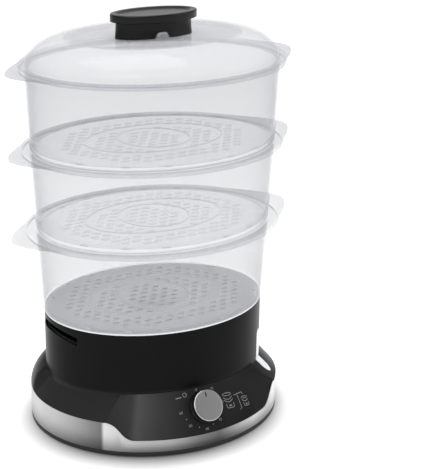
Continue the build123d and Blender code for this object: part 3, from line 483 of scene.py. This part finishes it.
base = {"bandBottom": 5.4, "bandTop": 35.7, "bandInset": 1.0, "bandWall": 0.8, "bandGap": 0.1,
        "shoulderTop": 54.0, "rearTop": 60.0, "rearPower": 1.7, "rearFrom": 14.0, "rearSoft": 6.0,
        "top": 120.6, "tankStep": 118.9, "tankLong": 119.4, "wall": 2.6,
        "panelBottom": 18.2, "panelTop": 57.5, "panelWall": 2.2, "cornerTop": 77.0, "reach": 100.0, "flat": 76.0,
        "faceBottom": 71.0, "faceTop": 66.0, "faceFoot": (133.7, 118.1), "gap": 0.15,
        "slotMiddle": 111.5, "slotDrop": 4.0, "slotHeight": 7.8, "slotHalf": 38.0,
        "gaugeAngle": -37.0, "gaugeWidth": 12.3, "gaugeLow": 40.85, "gaugeHigh": 87.15,
        "glandBack": 116.5, "glandHeight": 19.0, "glandRadius": 8.1}


def frontOf(halfLong, halfShort, x, forward=0.0):
    return -forward - halfShort * math.sqrt(1 - (x / halfLong) ** 2)


cornerY = frontOf(*ovals["drum"], base["cornerTop"])
reachY = frontOf(*ovals["foot"], base["reach"], ovals["forward"])


def panelSpace(gap):                   # the room in front of the body that the panel fills
    flat, reach, low = base["flat"] + gap, base["reach"] + gap, base["panelBottom"] - gap
    bend = (flat + reach) / 2
    side = []
    for step in range(25):
        share = step / 24
        across = (reach * (1 - share) ** 3 + bend * 3 * share * (1 - share) ** 2
                  + bend * 3 * share ** 2 * (1 - share) + flat * share ** 3)
        up = (base["bandTop"] * ((1 - share) ** 3 + 3 * share * (1 - share) ** 2)
              + low * (3 * share ** 2 * (1 - share) + share ** 3))
        side.append((across, up))
    seam = base["bandTop"] + 0.01
    outline = [(-x, z) for x, z in side] + side[::-1] + [(reach, seam), (-reach, seam)]
    far, front, deep = 150.0, -240, 60           # beyond the body on every side
    lower = drawPlate("lowerSpace", outline, deep, (0, bodyY + cornerY + gap - deep, 0), (math.pi / 2, 0, 0))
    slope = (reachY - cornerY) / (base["reach"] - base["cornerTop"])
    farY = cornerY + (far - base["cornerTop"]) * slope
    middle = (seam + base["panelTop"] + gap) / 2
    plan = [(-base["cornerTop"] - gap, cornerY + gap), (-far, farY + gap), (-far, front), (far, front),
            (far, farY + gap), (base["cornerTop"] + gap, cornerY + gap)]
    upper = drawPlate("upperSpace", plan, (base["panelTop"] + gap - seam) / 2 + 0.01, (0, bodyY, middle))
    return combine(lower, upper, "UNION")


def glandHole():
    work(None)
    bpy.ops.mesh.primitive_cylinder_add(vertices=48, radius=base["glandRadius"] * mm, depth=0.06,
                                        location=(0, (bodyY + base["glandBack"]) * mm, base["glandHeight"] * mm),
                                        rotation=(math.pi / 2, 0, 0))
    return applyPlace(bpy.context.object)


wall = base["wall"]
drumLong, drumShort = ovals["drum"]


def shoulderSize(share, inset):        # half length and half width, from 0 at the drum to 1 at the foot
    return [half + flare * share - inset for half, flare in zip(ovals["drum"], ovals["flare"])]


def shoulderSpan(inset):               # seam, top of the straight shoulder, top of the rear one
    return base["bandTop"] - inset / 4, base["shoulderTop"] - inset / 3, base["rearTop"] - inset


def shoulderRings(inset):
    seam, top, rearTop = shoulderSpan(inset)
    heights = [seam + (rearTop - seam) * math.sin(math.pi / 24 * step) ** (2 / base["rearPower"]) for step in range(13)]
    rings = []
    for height in sorted(heights + [top]):
        share = max(0.0, (top - height) / (top - seam))
        rings.append((*shoulderSize(share, inset), height, ovals["forward"] * share))
    return rings


def fillRear(piece, inset):            # the rear shoulder bulges, the front one stays straight
    seam, top, rearTop = shoulderSpan(inset)
    power = base["rearPower"]
    for corner in piece.data.vertices:
        height, back = corner.co.z / mm, corner.co.y / mm - bodyY
        full = min(max((back - base["rearFrom"] - inset) / base["rearSoft"], 0), 1)
        if seam < height < rearTop and full:
            straight = max(0.0, (top - height) / (top - seam))
            bulge = (1 - ((height - seam) / (rearTop - seam)) ** power) ** (1 / power)
            share = straight + (bulge - straight) * math.sin(full * math.pi / 2)
            (long, short), (longWas, shortWas) = shoulderSize(share, inset), shoulderSize(straight, inset)
            corner.co.x *= long / longWas
            back = (back + ovals["forward"] * straight) * short / shortWas
            corner.co.y = (back - ovals["forward"] * share + bodyY) * mm
    return piece


inset, tankLong = base["bandInset"], base["tankLong"] - wall
housing = drawRings("housing_shell", [plinthRing(inset, base["bandBottom"]), plinthRing(inset, base["bandTop"])]
                    + shoulderRings(0.0)
                    + [bodyRing(drumLong, height) for height in (90.0, 104.0, base["top"])], 240)
inside = drawRings("inside", [plinthRing(inset + wall, base["bandBottom"] - 1),
                              plinthRing(inset + wall, base["bandTop"] - 1.5)]
                   + shoulderRings(wall)
                   + [bodyRing(drumLong - wall, base["tankStep"]), bodyRing(tankLong, base["tankStep"]),
                      bodyRing(tankLong, base["top"] + 1)], 240)
combine(fillRear(housing, 0.0), fillRear(inside, wall))
combine(housing, panelSpace(base["gap"]))
combine(housing, glandHole())

slotLine = [-base["slotHalf"] + base["slotHalf"] * step / 10 for step in range(21)]
slotTop = [(y, base["slotMiddle"] - base["slotDrop"] * (y / base["slotHalf"]) ** 2 + base["slotHeight"] / 2)
           for y in slotLine]
slotOutline = slotTop + [(y, z - base["slotHeight"]) for y, z in slotTop[::-1]]
for side in (-1, 1):                   # filling slots in both ends
    combine(housing, drawPlate("slotCutter", slotOutline, 25, (side * 110, bodyY, 0),
                               (math.pi / 2, 0, math.pi / 2)))

gaugeTurn = math.radians(base["gaugeAngle"])
gaugeOut = Vector((math.cos(gaugeTurn) / drumLong, math.sin(gaugeTurn) / drumShort)).normalized()
window = oblong("gaugeCutter", base["gaugeHigh"] - base["gaugeLow"], base["gaugeWidth"], -14, 14, 32)
window.rotation_euler = (math.pi / 2, math.pi / 2, math.atan2(gaugeOut.y, gaugeOut.x) + math.pi / 2)
window.location = (drumLong * math.cos(gaugeTurn) * mm, (bodyY + drumShort * math.sin(gaugeTurn)) * mm,
                   (base["gaugeLow"] + base["gaugeHigh"]) / 2 * mm)
combine(housing, applyPlace(window))
roundEdges(housing, 0.45, 2)
modify(smooth(housing), "WEIGHTED_NORMAL", keep_sharp=True)
hand(housing, "base", "gloss_black", "glossBlack", "base_housing")
print("housing ready", len(housing.data.polygons))

bandLow, bandHigh = base["bandBottom"] + base["bandGap"], base["bandTop"] - base["bandGap"]
band = drawRings("band_sleeve", [plinthRing(0.0, bandLow), plinthRing(0.0, bandHigh),
                                 plinthRing(base["bandWall"], bandHigh), plinthRing(base["bandWall"], bandLow)],
                 240, closed=True)
combine(band, panelSpace(0.0))
combine(band, glandHole())
roundEdges(band, 0.18, 2)
hand(smooth(band), "base", "brushed_steel", "brushedSteel", "steel_band")
print("band ready", len(band.data.polygons))

stretch = (base["panelTop"] - base["panelBottom"]) / (base["panelTop"] - base["bandTop"])
footX = base["cornerTop"] + (base["reach"] - base["cornerTop"]) * stretch
footY = cornerY + (reachY - cornerY) * stretch


def panelOutline(halfLong, halfShort, forward, half, cornerX, sideY):      # a curved face between two facets
    across = [-half + half * step / 30 for step in range(61)]
    faceLine = [(x, frontOf(halfLong, halfShort, x, forward)) for x in across]
    return [(-cornerX, sideY)] + faceLine + [(cornerX, sideY), (cornerX, cornerY + 8), (-cornerX, cornerY + 8)]


panel = bridgeOutlines("front_panel",
                       (panelOutline(*base["faceFoot"], ovals["forward"], base["faceBottom"], footX, footY),
                        base["panelBottom"]),
                       (panelOutline(drumLong, drumShort, 0.0, base["faceTop"], base["cornerTop"], cornerY),
                        base["panelTop"]))
combine(panel, drawRings("plinthSpace", [plinthRing(0.0, base["panelBottom"] - 1),
                                         plinthRing(0.0, base["panelTop"] + 1)], 240), "INTERSECT")
combine(panel, panelSpace(0.0), "INTERSECT")
work(panel)
bpy.ops.object.mode_set(mode="EDIT")
pick(panel, "FACE", lambda face: face.normal.y > -0.25)
bpy.ops.mesh.delete(type="FACE")
bpy.ops.object.mode_set(mode="OBJECT")
modify(panel, "SOLIDIFY", thickness=base["panelWall"] * mm, offset=-1, use_even_offset=True)
cleanUp(panel)
roundEdges(panel, 0.35, 3, 25)
for corner in panel.data.vertices:     # nothing stands out beyond the band
    x, y = corner.co.x / mm, corner.co.y / mm - bodyY + ovals["forward"]
    out = max(1.0, math.hypot(x / ovals["foot"][0], y / ovals["foot"][1]))
    corner.co.x, corner.co.y = x / out * mm, (y / out - ovals["forward"] + bodyY) * mm
hand(smooth(panel, 20), "base", "panel_black", "panelBlack", "control_panel")
print("panel ready", len(panel.data.polygons))

# bowls

bowls = {"bottoms": (119.4, 124.0, 128.3), "tops": (123.9, 128.1, 131.3), "rests": (122.3, 209.1, 291.5),
         "rims": (208.9, 291.3, 373.9), "flanges": (135.1, 137.0, 138.0), "ribs": (110.6, 121.7, 125.9),
         "wall": 1.8, "floor": 2.0, "flangeThick": 1.8, "edgeDeep": 4.6, "edgeWall": 1.4,
         "ribDeep": 1.9, "ribWall": 1.6, "ribFree": 95.0,
         "earReach": 156.4, "earHalf": 56.0, "earBlunt": 0.25, "earPower": 1.15,
         "holeLong": 7.5, "holeWide": 4.0, "pitchX": 12.5, "pitchY": 9.5, "border": 20.0,
         "ringCircle": 36.5, "ringOval": 74.0, "ringWall": 1.6, "ringHigh": 1.4,
         "slot": (8.0, 2.6), "slotInset": 8.5, "slotAngles": (29, 53, 73, 107, 127, 151, 209, 233, 253, 287, 307, 331)}


def flangeOutline(reach):              # an oval with a pointed ear at each end
    line = []
    for step in range(288):
        angle = 2 * math.pi * step / 288
        x, y = reach * math.cos(angle), (reach - ovalDifference) * math.sin(angle)
        blunt = bowls["earBlunt"]
        point = max(0.0, 1 - math.hypot(y / bowls["earHalf"], blunt)) / (1 - blunt)
        line.append((x + math.copysign((bowls["earReach"] - reach) * point ** bowls["earPower"], x), y))
    return line


def flange(reach, rim):                # a flat edge with the ears, turned down under itself
    middle, foot = rim - bowls["flangeThick"] / 2, rim - bowls["edgeDeep"]
    outside, inside = reach - 0.4, reach - 0.4 - bowls["edgeWall"]
    piece = drawPlate("flange", flangeOutline(reach), bowls["flangeThick"] / 2, (0, bodyY, middle))
    rings = [bodyRing(outside, middle), bodyRing(outside, foot), bodyRing(inside, foot), bodyRing(inside, middle)]
    return combine(piece, drawRings("turnedEdge", rings, 240, closed=True), "UNION")


def floorPlaces():
    places = []
    limit = bowls["bottoms"][0] - bowls["border"]
    for row in range(-10, 11):
        y = row * bowls["pitchY"]
        for column in range(-10, 11):
            x = (column + row % 2 / 2) * bowls["pitchX"]
            share = math.hypot(x / bowls["ringOval"], y / (bowls["ringOval"] - ovalDifference))
            fromOval = abs(share - 1) * math.hypot(x, y) / share if share else 99.0
            fromCircle = abs(math.hypot(x, y) - bowls["ringCircle"])
            if (math.hypot(x / limit, y / (limit - ovalDifference)) <= 1
                    and min(fromOval, fromCircle) > bowls["holeLong"] / 2 + bowls["ringWall"]):
                places.append((x, y + bodyY, 0.0))
    return places


def makeBowl(number):
    low, high = bowls["bottoms"][number], bowls["tops"][number]
    rest, rim, reach = bowls["rests"][number], bowls["rims"][number], bowls["flanges"][number]
    floorTop = rest + bowls["floor"]
    taper = (high - low) / (rim - rest)
    outside = soften([(low - 12, rest, 0), (low, rest, 2.2), (low + taper * (rim - 0.9 - rest), rim - 0.9, 0)])
    piece = drawRings("bowl", [bodyRing(point.x, point.y) for point in outside], 240)
    combine(piece, flange(reach, rim), "UNION")
    inside = low - bowls["wall"]
    edge = inside + taper * (rim - rest)
    cavity = soften([(inside - 12, floorTop, 0), (inside + 0.1, floorTop, 3.5), (edge, rim - 1.2, 0.8),
                     (edge + 1.2, rim + 0.1, 0.4), (edge + 1.2, rim + 2, 0)])
    combine(piece, drawRings("cavity", [bodyRing(point.x, point.y) for point in cavity], 240))
    top, wallHalf = floorTop + bowls["ringHigh"], bowls["ringWall"] / 2
    rib, foot = bowls["ribs"][number], rest - bowls["ribDeep"]
    inner = rib - bowls["ribWall"]
    ribRings = drawRings("rib", [bodyRing(rib, rest + 0.6), bodyRing(rib, foot), bodyRing(inner, foot),
                                 bodyRing(inner, rest + 0.6)], 200, closed=True)
    if number == 0:                    # the lowest bowl's rib leaves the tray's flat ends free
        bpy.ops.object.mode_set(mode="EDIT")
        for side in (-1, 1):
            bpy.ops.mesh.select_all(action="SELECT")
            bpy.ops.mesh.bisect(plane_co=(side * bowls["ribFree"] * mm, 0, 0), plane_no=(side, 0, 0),
                                use_fill=True, clear_outer=True)
        bpy.ops.object.mode_set(mode="OBJECT")
    combine(piece, ribRings, "UNION")
    for ovalRing in (True, False):
        middle = bowls["ringOval"] if ovalRing else bowls["ringCircle"]
        gap = ovalDifference if ovalRing else 0.0
        rings = [(out, out - gap, up, 0.0) for out, up in
                 ((middle + wallHalf, floorTop - 0.4), (middle + wallHalf - 0.3, top),
                  (middle - wallHalf + 0.3, top), (middle - wallHalf, floorTop - 0.4))]
        combine(piece, drawRings("ring", rings, 120, closed=True), "UNION")
    holes = copyTo(oblong("hole", bowls["holeLong"], bowls["holeWide"], rest - 1, floorTop + 1, 12), floorPlaces())
    combine(piece, holes)
    edgeLong = low - bowls["slotInset"]
    edgeShort = edgeLong - ovalDifference
    edges = []
    for angle in bowls["slotAngles"]:
        x = edgeLong * math.cos(math.radians(angle))
        y = edgeShort * math.sin(math.radians(angle))
        heading = math.atan2(y / edgeShort ** 2, x / edgeLong ** 2) + math.pi / 2
        edges.append((x, y + bodyY, heading))
    combine(piece, copyTo(oblong("edgeHole", *bowls["slot"], rest - 1, floorTop + 1, 12), edges))
    piece.name = piece.data.name = f"clear_bowl_{number + 1}"
    cleanUp(piece)
    roundEdges(piece, 0.3, 2, 40)
    hand(smooth(piece), f"bowl_{number + 1}", "bowl_clear", "bowlClear" if number else "lowBowlClear",
         f"bowl_{number + 1}")
    print("bowl", number + 1, "ready", len(piece.data.polygons))


for number in range(3):
    makeBowl(number)

# lid and its handle

lid = {"rest": 374.1, "flange": 137.4, "thick": 2.1, "foot": 130.8, "footUp": 377.1, "wall": 1.8, "power": 1.6,
       "crest": 401.0, "crestHalf": 95.5, "dishHalf": 84.0, "dish": 397.6, "spigot": 129.1, "spigotWall": 1.5}
handle = {"foot": 397.7, "neckTop": 414.1, "neckLong": 41.9, "neckShort": 19.2, "waist": 0.9, "wall": 2.4,
          "ventHalf": 8.0, "ventHigh": 6.0, "capLow": 414.2, "top": 421.8, "capLong": 46.4, "capShort": 25.8,
          "dish": 1.6, "dishRim": 5.0, "dishSlope": 4.0, "screwSpan": 56.0}


def domeLine(inset):
    line = []
    for step in range(17):
        bend = math.pi / 2 * step / 16
        share, up = math.cos(bend) ** (2 / lid["power"]), math.sin(bend) ** (2 / lid["power"])
        line.append((lid["crestHalf"] + (lid["foot"] - lid["crestHalf"]) * share - inset,
                     lid["footUp"] + (lid["crest"] - lid["footUp"] - inset) * up))
    return line


outer = domeLine(0.0)[::-1]            # from the crest down to the foot
innerLine = domeLine(lid["wall"])
outline = [(lid["dishHalf"], lid["dish"], 0), (lid["dishHalf"] + 0.1, lid["dish"], 0),
           (lid["crestHalf"] - 3, lid["crest"] - 0.5, 0)]
outline += [(out, up, 0) for out, up in outer]
outline += [(lid["foot"], lid["rest"] + lid["thick"], 0.6), (lid["flange"], lid["rest"] + lid["thick"], 0.7),
            (lid["flange"], lid["rest"], 0.4), (lid["spigot"], lid["rest"], 0.3), (lid["spigot"], lid["rest"] - 4, 0.6),
            (lid["spigot"] - lid["spigotWall"], lid["rest"] - 4, 0.6),
            (lid["spigot"] - lid["spigotWall"], lid["rest"] + 1.5, 0)]
outline += [(out, up, 0) for out, up in innerLine]
outline += [(lid["crestHalf"] - 3 - lid["wall"], lid["crest"] - 0.5 - lid["wall"], 0),
            (lid["dishHalf"] - lid["wall"], lid["dish"] - lid["wall"], 0)]
dome = drawRings("clear_lid", [bodyRing(point.x, point.y) for point in soften(outline, 3)], 240)
drillLow, drillHigh = lid["dish"] - 4, lid["dish"] + 2
screwPlaces = [(side * handle["screwSpan"] / 2, bodyY, 0.0) for side in (-1, 1)]
combine(dome, copyTo(oblong("vent", 8.0, 4.0, drillLow, drillHigh), [(x, bodyY, 0.0) for x in (-12, 0, 12)]))
combine(dome, copyTo(oblong("screwHole", 3.61, 3.6, drillLow, drillHigh, 24), screwPlaces))
hand(smooth(dome), "lid", "lid_clear", "lidClear", "lid")
print("lid ready", len(dome.data.polygons))


def handleRing(out, across, up):
    return out, across, up, 0.0


neckRings = []
for step in range(9):                  # hollow-cheeked neck
    share = step / 8
    narrow = handle["waist"] * math.sin(share * math.pi / 2) ** 0.8
    neckRings.append(handleRing(handle["neckLong"] - narrow, handle["neckShort"] - narrow,
                                handle["foot"] + (handle["neckTop"] - handle["foot"]) * share))
neck = drawRings("lid_neck", neckRings, 96)
hollow = handle["waist"] + handle["wall"]
combine(neck, drawRings("neckInside", [
    handleRing(handle["neckLong"] - hollow, handle["neckShort"] - hollow, height)
    for height in (handle["foot"] - 2, handle["neckTop"] - handle["wall"])], 96))
arch = oblong("archCutter", 2 * handle["ventHalf"], 2 * handle["ventHigh"], 0, 30, 32)
arch.rotation_euler = (math.pi / 2, 0, 0)
arch.location = (0, bodyY * mm, handle["foot"] * mm)
combine(neck, applyPlace(arch))
bosses = copyTo(oblong("boss", 9.21, 9.2, handle["foot"], handle["neckTop"] - 1, 32), screwPlaces)
combine(bosses, copyTo(oblong("bossHole", 3.61, 3.6, handle["foot"] - 1, handle["foot"] + 12, 24), screwPlaces))
combine(neck, bosses, "UNION")
roundEdges(neck, 0.5, 2, 40)
hand(smooth(neck), "lid", "black_plastic", "handleBlack", "handle_neck")

edgeRound, high = 1.6, handle["top"] - handle["capLow"]
capOutline = [(handle["capLong"] - 12, 0, 0), (handle["capLong"], 0, 0.8), (handle["capLong"], high, edgeRound),
              (handle["capLong"] - handle["dishRim"], high, 1.0),
              (handle["capLong"] - handle["dishRim"] - handle["dishSlope"], high - handle["dish"], 2.0),
              (handle["capLong"] - 20, high - handle["dish"], 0)]
capRings = [handleRing(point.x, point.x - handle["capLong"] + handle["capShort"], handle["capLow"] + point.y)
            for point in soften(capOutline, 6)]
cap = drawRings("lid_grip", capRings, 128)
hand(smooth(cap), "lid", "black_plastic", "handleBlack", "handle_cap")
print("handle ready")

# dial

dial = {"tilt": math.atan2(0.83205, 0.55470), "footY": -105.367, "height": 40.0, "lift": 1.0, "radius": 15.2,
        "footRadius": 16.6, "deep": 8.0, "capRadius": 15.9, "wall": 2.0, "web": 3.6, "hub": 5.4, "hubBore": 2.6}


def toPanel(piece):                    # from upright at the origin onto the dial's axis
    piece.rotation_euler = (dial["tilt"], 0, 0)
    piece.location = (0, (bodyY + dial["footY"]) * mm, dial["height"] * mm)
    return applyPlace(piece)


def drawRound(name, outline, closed=False):
    return drawRings(name, [(point.x, point.x, point.y, bodyY) for point in soften(outline)], 96, closed)


under, over = dial["lift"], dial["lift"] + dial["deep"]
knob = drawRound("dial_skirt", [(dial["radius"] - 6, under, 0), (dial["footRadius"], under, 0.5),
                                (dial["footRadius"], under + 1.6, 0.8), (dial["radius"], under + 3.4, 1.0),
                                (dial["radius"], over - 0.6, 0.3), (dial["radius"] - 0.5, over - 0.05, 0.1),
                                (dial["radius"] - 6, over - 0.05, 0)])
bore, ceiling = dial["radius"] - dial["wall"], over - dial["web"]
combine(knob, drawRound("knobHollow", [(bore, under - 1, 0), (bore, ceiling, 0)]))
hub = drawRound("hub", [(dial["hub"], under, 0), (dial["hub"], ceiling + 0.5, 0)])
combine(hub, drawRound("hubBore", [(dial["hubBore"], under - 1, 0), (dial["hubBore"], ceiling + 2, 0)]))
combine(knob, hub, "UNION")
cleanUp(knob, 0.02)
hand(smooth(toPanel(knob)), "dial", "knob_black", "knobBlack", "dial_knob")

faceOut = dial["capRadius"]
plateOut, rimIn = faceOut - 1.0, faceOut - 0.98
face = drawRound("dial_plate", [(faceOut - 5, over, 0), (plateOut, over, 0), (plateOut, over + 1.42, 0.3),
                                (faceOut - 3, over + 1.45, 0)])
hand(smooth(toPanel(face), 25), "dial", "silver", "spunSilver", "dial_face")

rim = drawRound("dial_rim", [(rimIn, over, 0), (faceOut, over, 0.2), (faceOut, over + 0.85, 0.25),
                             (rimIn, over + 1.5, 0.2)], closed=True)
hand(smooth(toPanel(rim), 25), "dial", "silver", "rimSilver")

mark = oblong("dial_pointer", 4.8, 1.3, over + 1.40, over + 1.56, 16)
work(mark)
mark.rotation_euler = (0, 0, math.pi / 2)
mark.location = (0, 11.0 * mm, 0)
hand(smooth(toPanel(applyPlace(mark))), "dial", "knob_black", "knobBlack")
print("dial ready")

# printed marks: minutes round the dial, dots between them, the off mark, and how the bowls stack

marks = {"numbers": {0: (-3.6, 18.6), 10: (14.0, 16.0), 20: (21.5, 0.5), 30: (13.9, -16.0), 40: (-3.4, -22.0),
                     50: (-20.0, -15.0), 60: (-26.0, -0.4)},
         "dots": ((-22.4, -7.8), (-11.2, -18.3), (4.8, -18.9)), "offBar": (-24.4, 14.6), "offRing": (-17.4, 16.2),
         "textHigh": 3.9, "dot": 0.6, "line": 0.6, "lift": 0.05}


def box(x, y, wide, high):
    return [(x + across * wide / 2, y + up * high / 2) for across, up in ((-1, -1), (1, -1), (1, 1), (-1, 1))]


def ring(x, y, wide, high, corners=24):          # an oval line: its outside and its inside
    return [[(x + (wide / 2 - inset) * math.cos(2 * math.pi * k / corners),
              y + (high / 2 - inset) * math.sin(2 * math.pi * k / corners)) for k in range(corners)]
            for inset in (0.0, marks["line"])]


def strip(points):                     # a line with its own width
    sides = ([], [])
    for place, (x, y) in enumerate(points):
        before, after = points[max(place - 1, 0)], points[min(place + 1, len(points) - 1)]
        along = Vector((after[0] - before[0], after[1] - before[1])).normalized() * marks["line"] / 2
        sides[0].append((x - along.y, y + along.x))
        sides[1].append((x + along.y, y - along.x))
    return sides[0] + sides[1][::-1]


def stackOf(x, y, wide, high, count):  # a lid, so many bowls, and the base
    drawn = ring(x, y, wide, high * 0.55)
    for number in range(1, count + 1):
        top = y - number * high * 0.42
        drawn.append(strip([(x + wide / 2 * k / 8 + number * 0.35, top - high * 0.42 * (1 - (k / 8) ** 2))
                            for k in range(-8, 9)]))
    low = y - count * high * 0.42 - high
    x += count * 0.35 + 0.8
    half, tall = wide * 0.42, high * 0.36
    drawn.append(strip([(x - half, low + tall), (x - half, low - tall * 0.6), (x - half * 0.7, low - tall),
                        (x + half * 0.7, low - tall), (x + half, low - tall * 0.6), (x + half, low + tall)]))
    return drawn + [box(x, low, wide * 0.3, high * 0.2)]


def divide(loop, length=1.2):          # more points, so that a long line follows the panel's curve
    points = []
    for place, here in enumerate(loop):
        there = loop[(place + 1) % len(loop)]
        count = max(1, round(math.dist(here, there) / length))
        points += [(here[0] + (there[0] - here[0]) * k / count, here[1] + (there[1] - here[1]) * k / count)
                   for k in range(count)]
    return points


loops = [[(x + marks["dot"] * math.cos(k * math.pi / 6), y + marks["dot"] * math.sin(k * math.pi / 6))
          for k in range(12)] for x, y in marks["dots"]]
loops += [box(*marks["offBar"], 6.0, 0.9)] + ring(*marks["offRing"], 4.6, 4.6)
loops += stackOf(29.6, 7.0, 11.0, 6.4, 2) + stackOf(51.2, 0.4, 8.0, 5.0, 1)
loops += [strip([(38.2, 4.4), (49.2, 6.0), (50.6, 3.6)]), strip([(42.8, 4.0), (44.6, -10.0), (42.0, -11.0)])]
prints = [drawLoops("panel_marks", [divide(loop) for loop in loops], 0)]
for minute, spot in marks["numbers"].items():
    work(None)
    bpy.ops.object.text_add()
    number = bpy.context.object
    number.data.body = str(minute)
    number.data.size = marks["textHigh"] * mm
    number.data.align_x, number.data.align_y = "CENTER", "CENTER"
    bpy.ops.object.convert(target="MESH")
    number = bpy.context.object
    number.location = (spot[0] * mm, spot[1] * mm, 0)
    prints.append(applyPlace(number))
work(prints[0])
for number in prints:
    number.select_set(True)
bpy.ops.object.join()
prints = bpy.context.object
prints.location.z = 12 * mm
applyPlace(prints)
toPanel(prints)
prints.rotation_euler = (-dial["tilt"], 0, 0)    # stood so that its own Z is the panel's, for the projection
applyPlace(prints)
prints.rotation_euler = (dial["tilt"], 0, 0)
bpy.context.view_layer.update()
modify(prints, "SHRINKWRAP", target=panel, wrap_method="PROJECT", use_project_z=True, use_negative_direction=True,
       use_positive_direction=False, offset=marks["lift"] * mm)
applyPlace(prints)
modify(prints, "SOLIDIFY", thickness=0.06 * mm, offset=0)
cleanUp(prints, 0.0001)
hand(prints, "base", "grey_plastic", "printGrey")
print("marks ready", len(prints.data.polygons))

# what stays as the frame has it, in its own finish

kept = {"blackPlastic": ["bottom_cover"], "rubber": ["rubber_feet", "heater_gasket", "cord_gland"],
        "zincSteel": ["bottom_screws", "clamp_ring", "heater_screws", "timer_screws", "timer_shaft", "handle_screws"],
        "tankGrey": ["water_tank"], "gaugeClear": ["level_gauge"], "stainless": ["heater_plate"],
        "elementSteel": ["heating_element"], "bellChrome": ["thermostat", "timer_bell"],
        "timerGrey": ["timer_case"], "wireBrown": ["supply_wire", "timer_wire"], "wireBlue": ["neutral_wire"],
        "wireWhite": ["thermal_fuse", "terminal_block", "thermostat_wire", "fuse_wire"],
        "greyPlastic": ["steam_ring"], "trayClear": ["drip_tray"]}
for finish, names in kept.items():
    for name in names:
        for place in nodes[name].material_slots:
            place.material = finishes[finish]
print("frame dressed")

# floor, world and lamps

work(None)
bpy.ops.mesh.primitive_plane_add(size=12, location=(0, 0, 0))
floor = bpy.context.object
floor.name = "floor"
# low is the painted shadow's colour; start, end, power, forward and left shape that shadow round the foot
paper = {"low": (0.05, 0.05, 0.05), "high": (0.90, 0.90, 0.902), "glow": (0.34, 0.34, 0.34),
         "forward": 15.0, "left": 6.0, "start": 0.83, "end": 1.25, "power": 0.62}
bench = Bench("floorPaper")
rays = bench.tree.nodes.new("ShaderNodeLightPath")
seen = [Value(bench, rays.outputs[name]) for name in ("Is Camera Ray", "Is Glossy Ray", "Is Transmission Ray")]
out = bench.ovalPlace(*ovals["foot"], paper["forward"], paper["left"])[0]
near = bench.step(out, paper["start"], paper["end"]) ** paper["power"]     # painted shadow: colour and glow darker close to the foot
bench.dress({"Base Color": bench.blend(near, paper["low"], paper["high"]), "Roughness": 0.9,
             "Specular IOR Level": 0.0,
             "Emission Color": bench.blend((seen[0] + seen[1] + seen[2]) * near, (0, 0, 0), paper["glow"]),
             "Emission Strength": 1.0})
floor.data.materials.append(bench.material)

world = bpy.data.worlds.new("studio")
bpy.context.scene.world = world
world.use_nodes = True
sky = world.node_tree.nodes["Background"]
lightPath = world.node_tree.nodes.new("ShaderNodeLightPath")
total = world.node_tree.nodes.new("ShaderNodeMath")
total.operation = "MAXIMUM"
world.node_tree.links.new(lightPath.outputs["Is Camera Ray"], total.inputs[0])
total.inputs[1].default_value = 0.72
world.node_tree.links.new(total.outputs[0], sky.inputs["Strength"])
sky.inputs["Color"].default_value = (1, 1, 1, 1)

lamps = {"key": {"place": (-0.9, -1.2, 1.5), "size": 1.1, "power": 10},
         "fill": {"place": (1.4, -0.9, 0.9), "size": 1.0, "power": 4},
         "top": {"place": (0.0, 0.1, 1.9), "size": 1.2, "power": 19}}
for name, values in lamps.items():
    work(None)
    place = Vector(values["place"])
    bpy.ops.object.light_add(type="AREA", location=place,
                             rotation=(place - Vector((0, 0, 0.2))).to_track_quat("Z", "Y").to_euler())
    lamp = bpy.context.object
    lamp.name = name
    lamp.data.size, lamp.data.energy = values["size"], values["power"]
bpy.context.scene.view_settings.view_transform = "Standard"
bpy.context.scene.cycles.transparent_max_bounces = 48
bpy.context.scene.cycles.max_bounces = 16

print("scene ready")
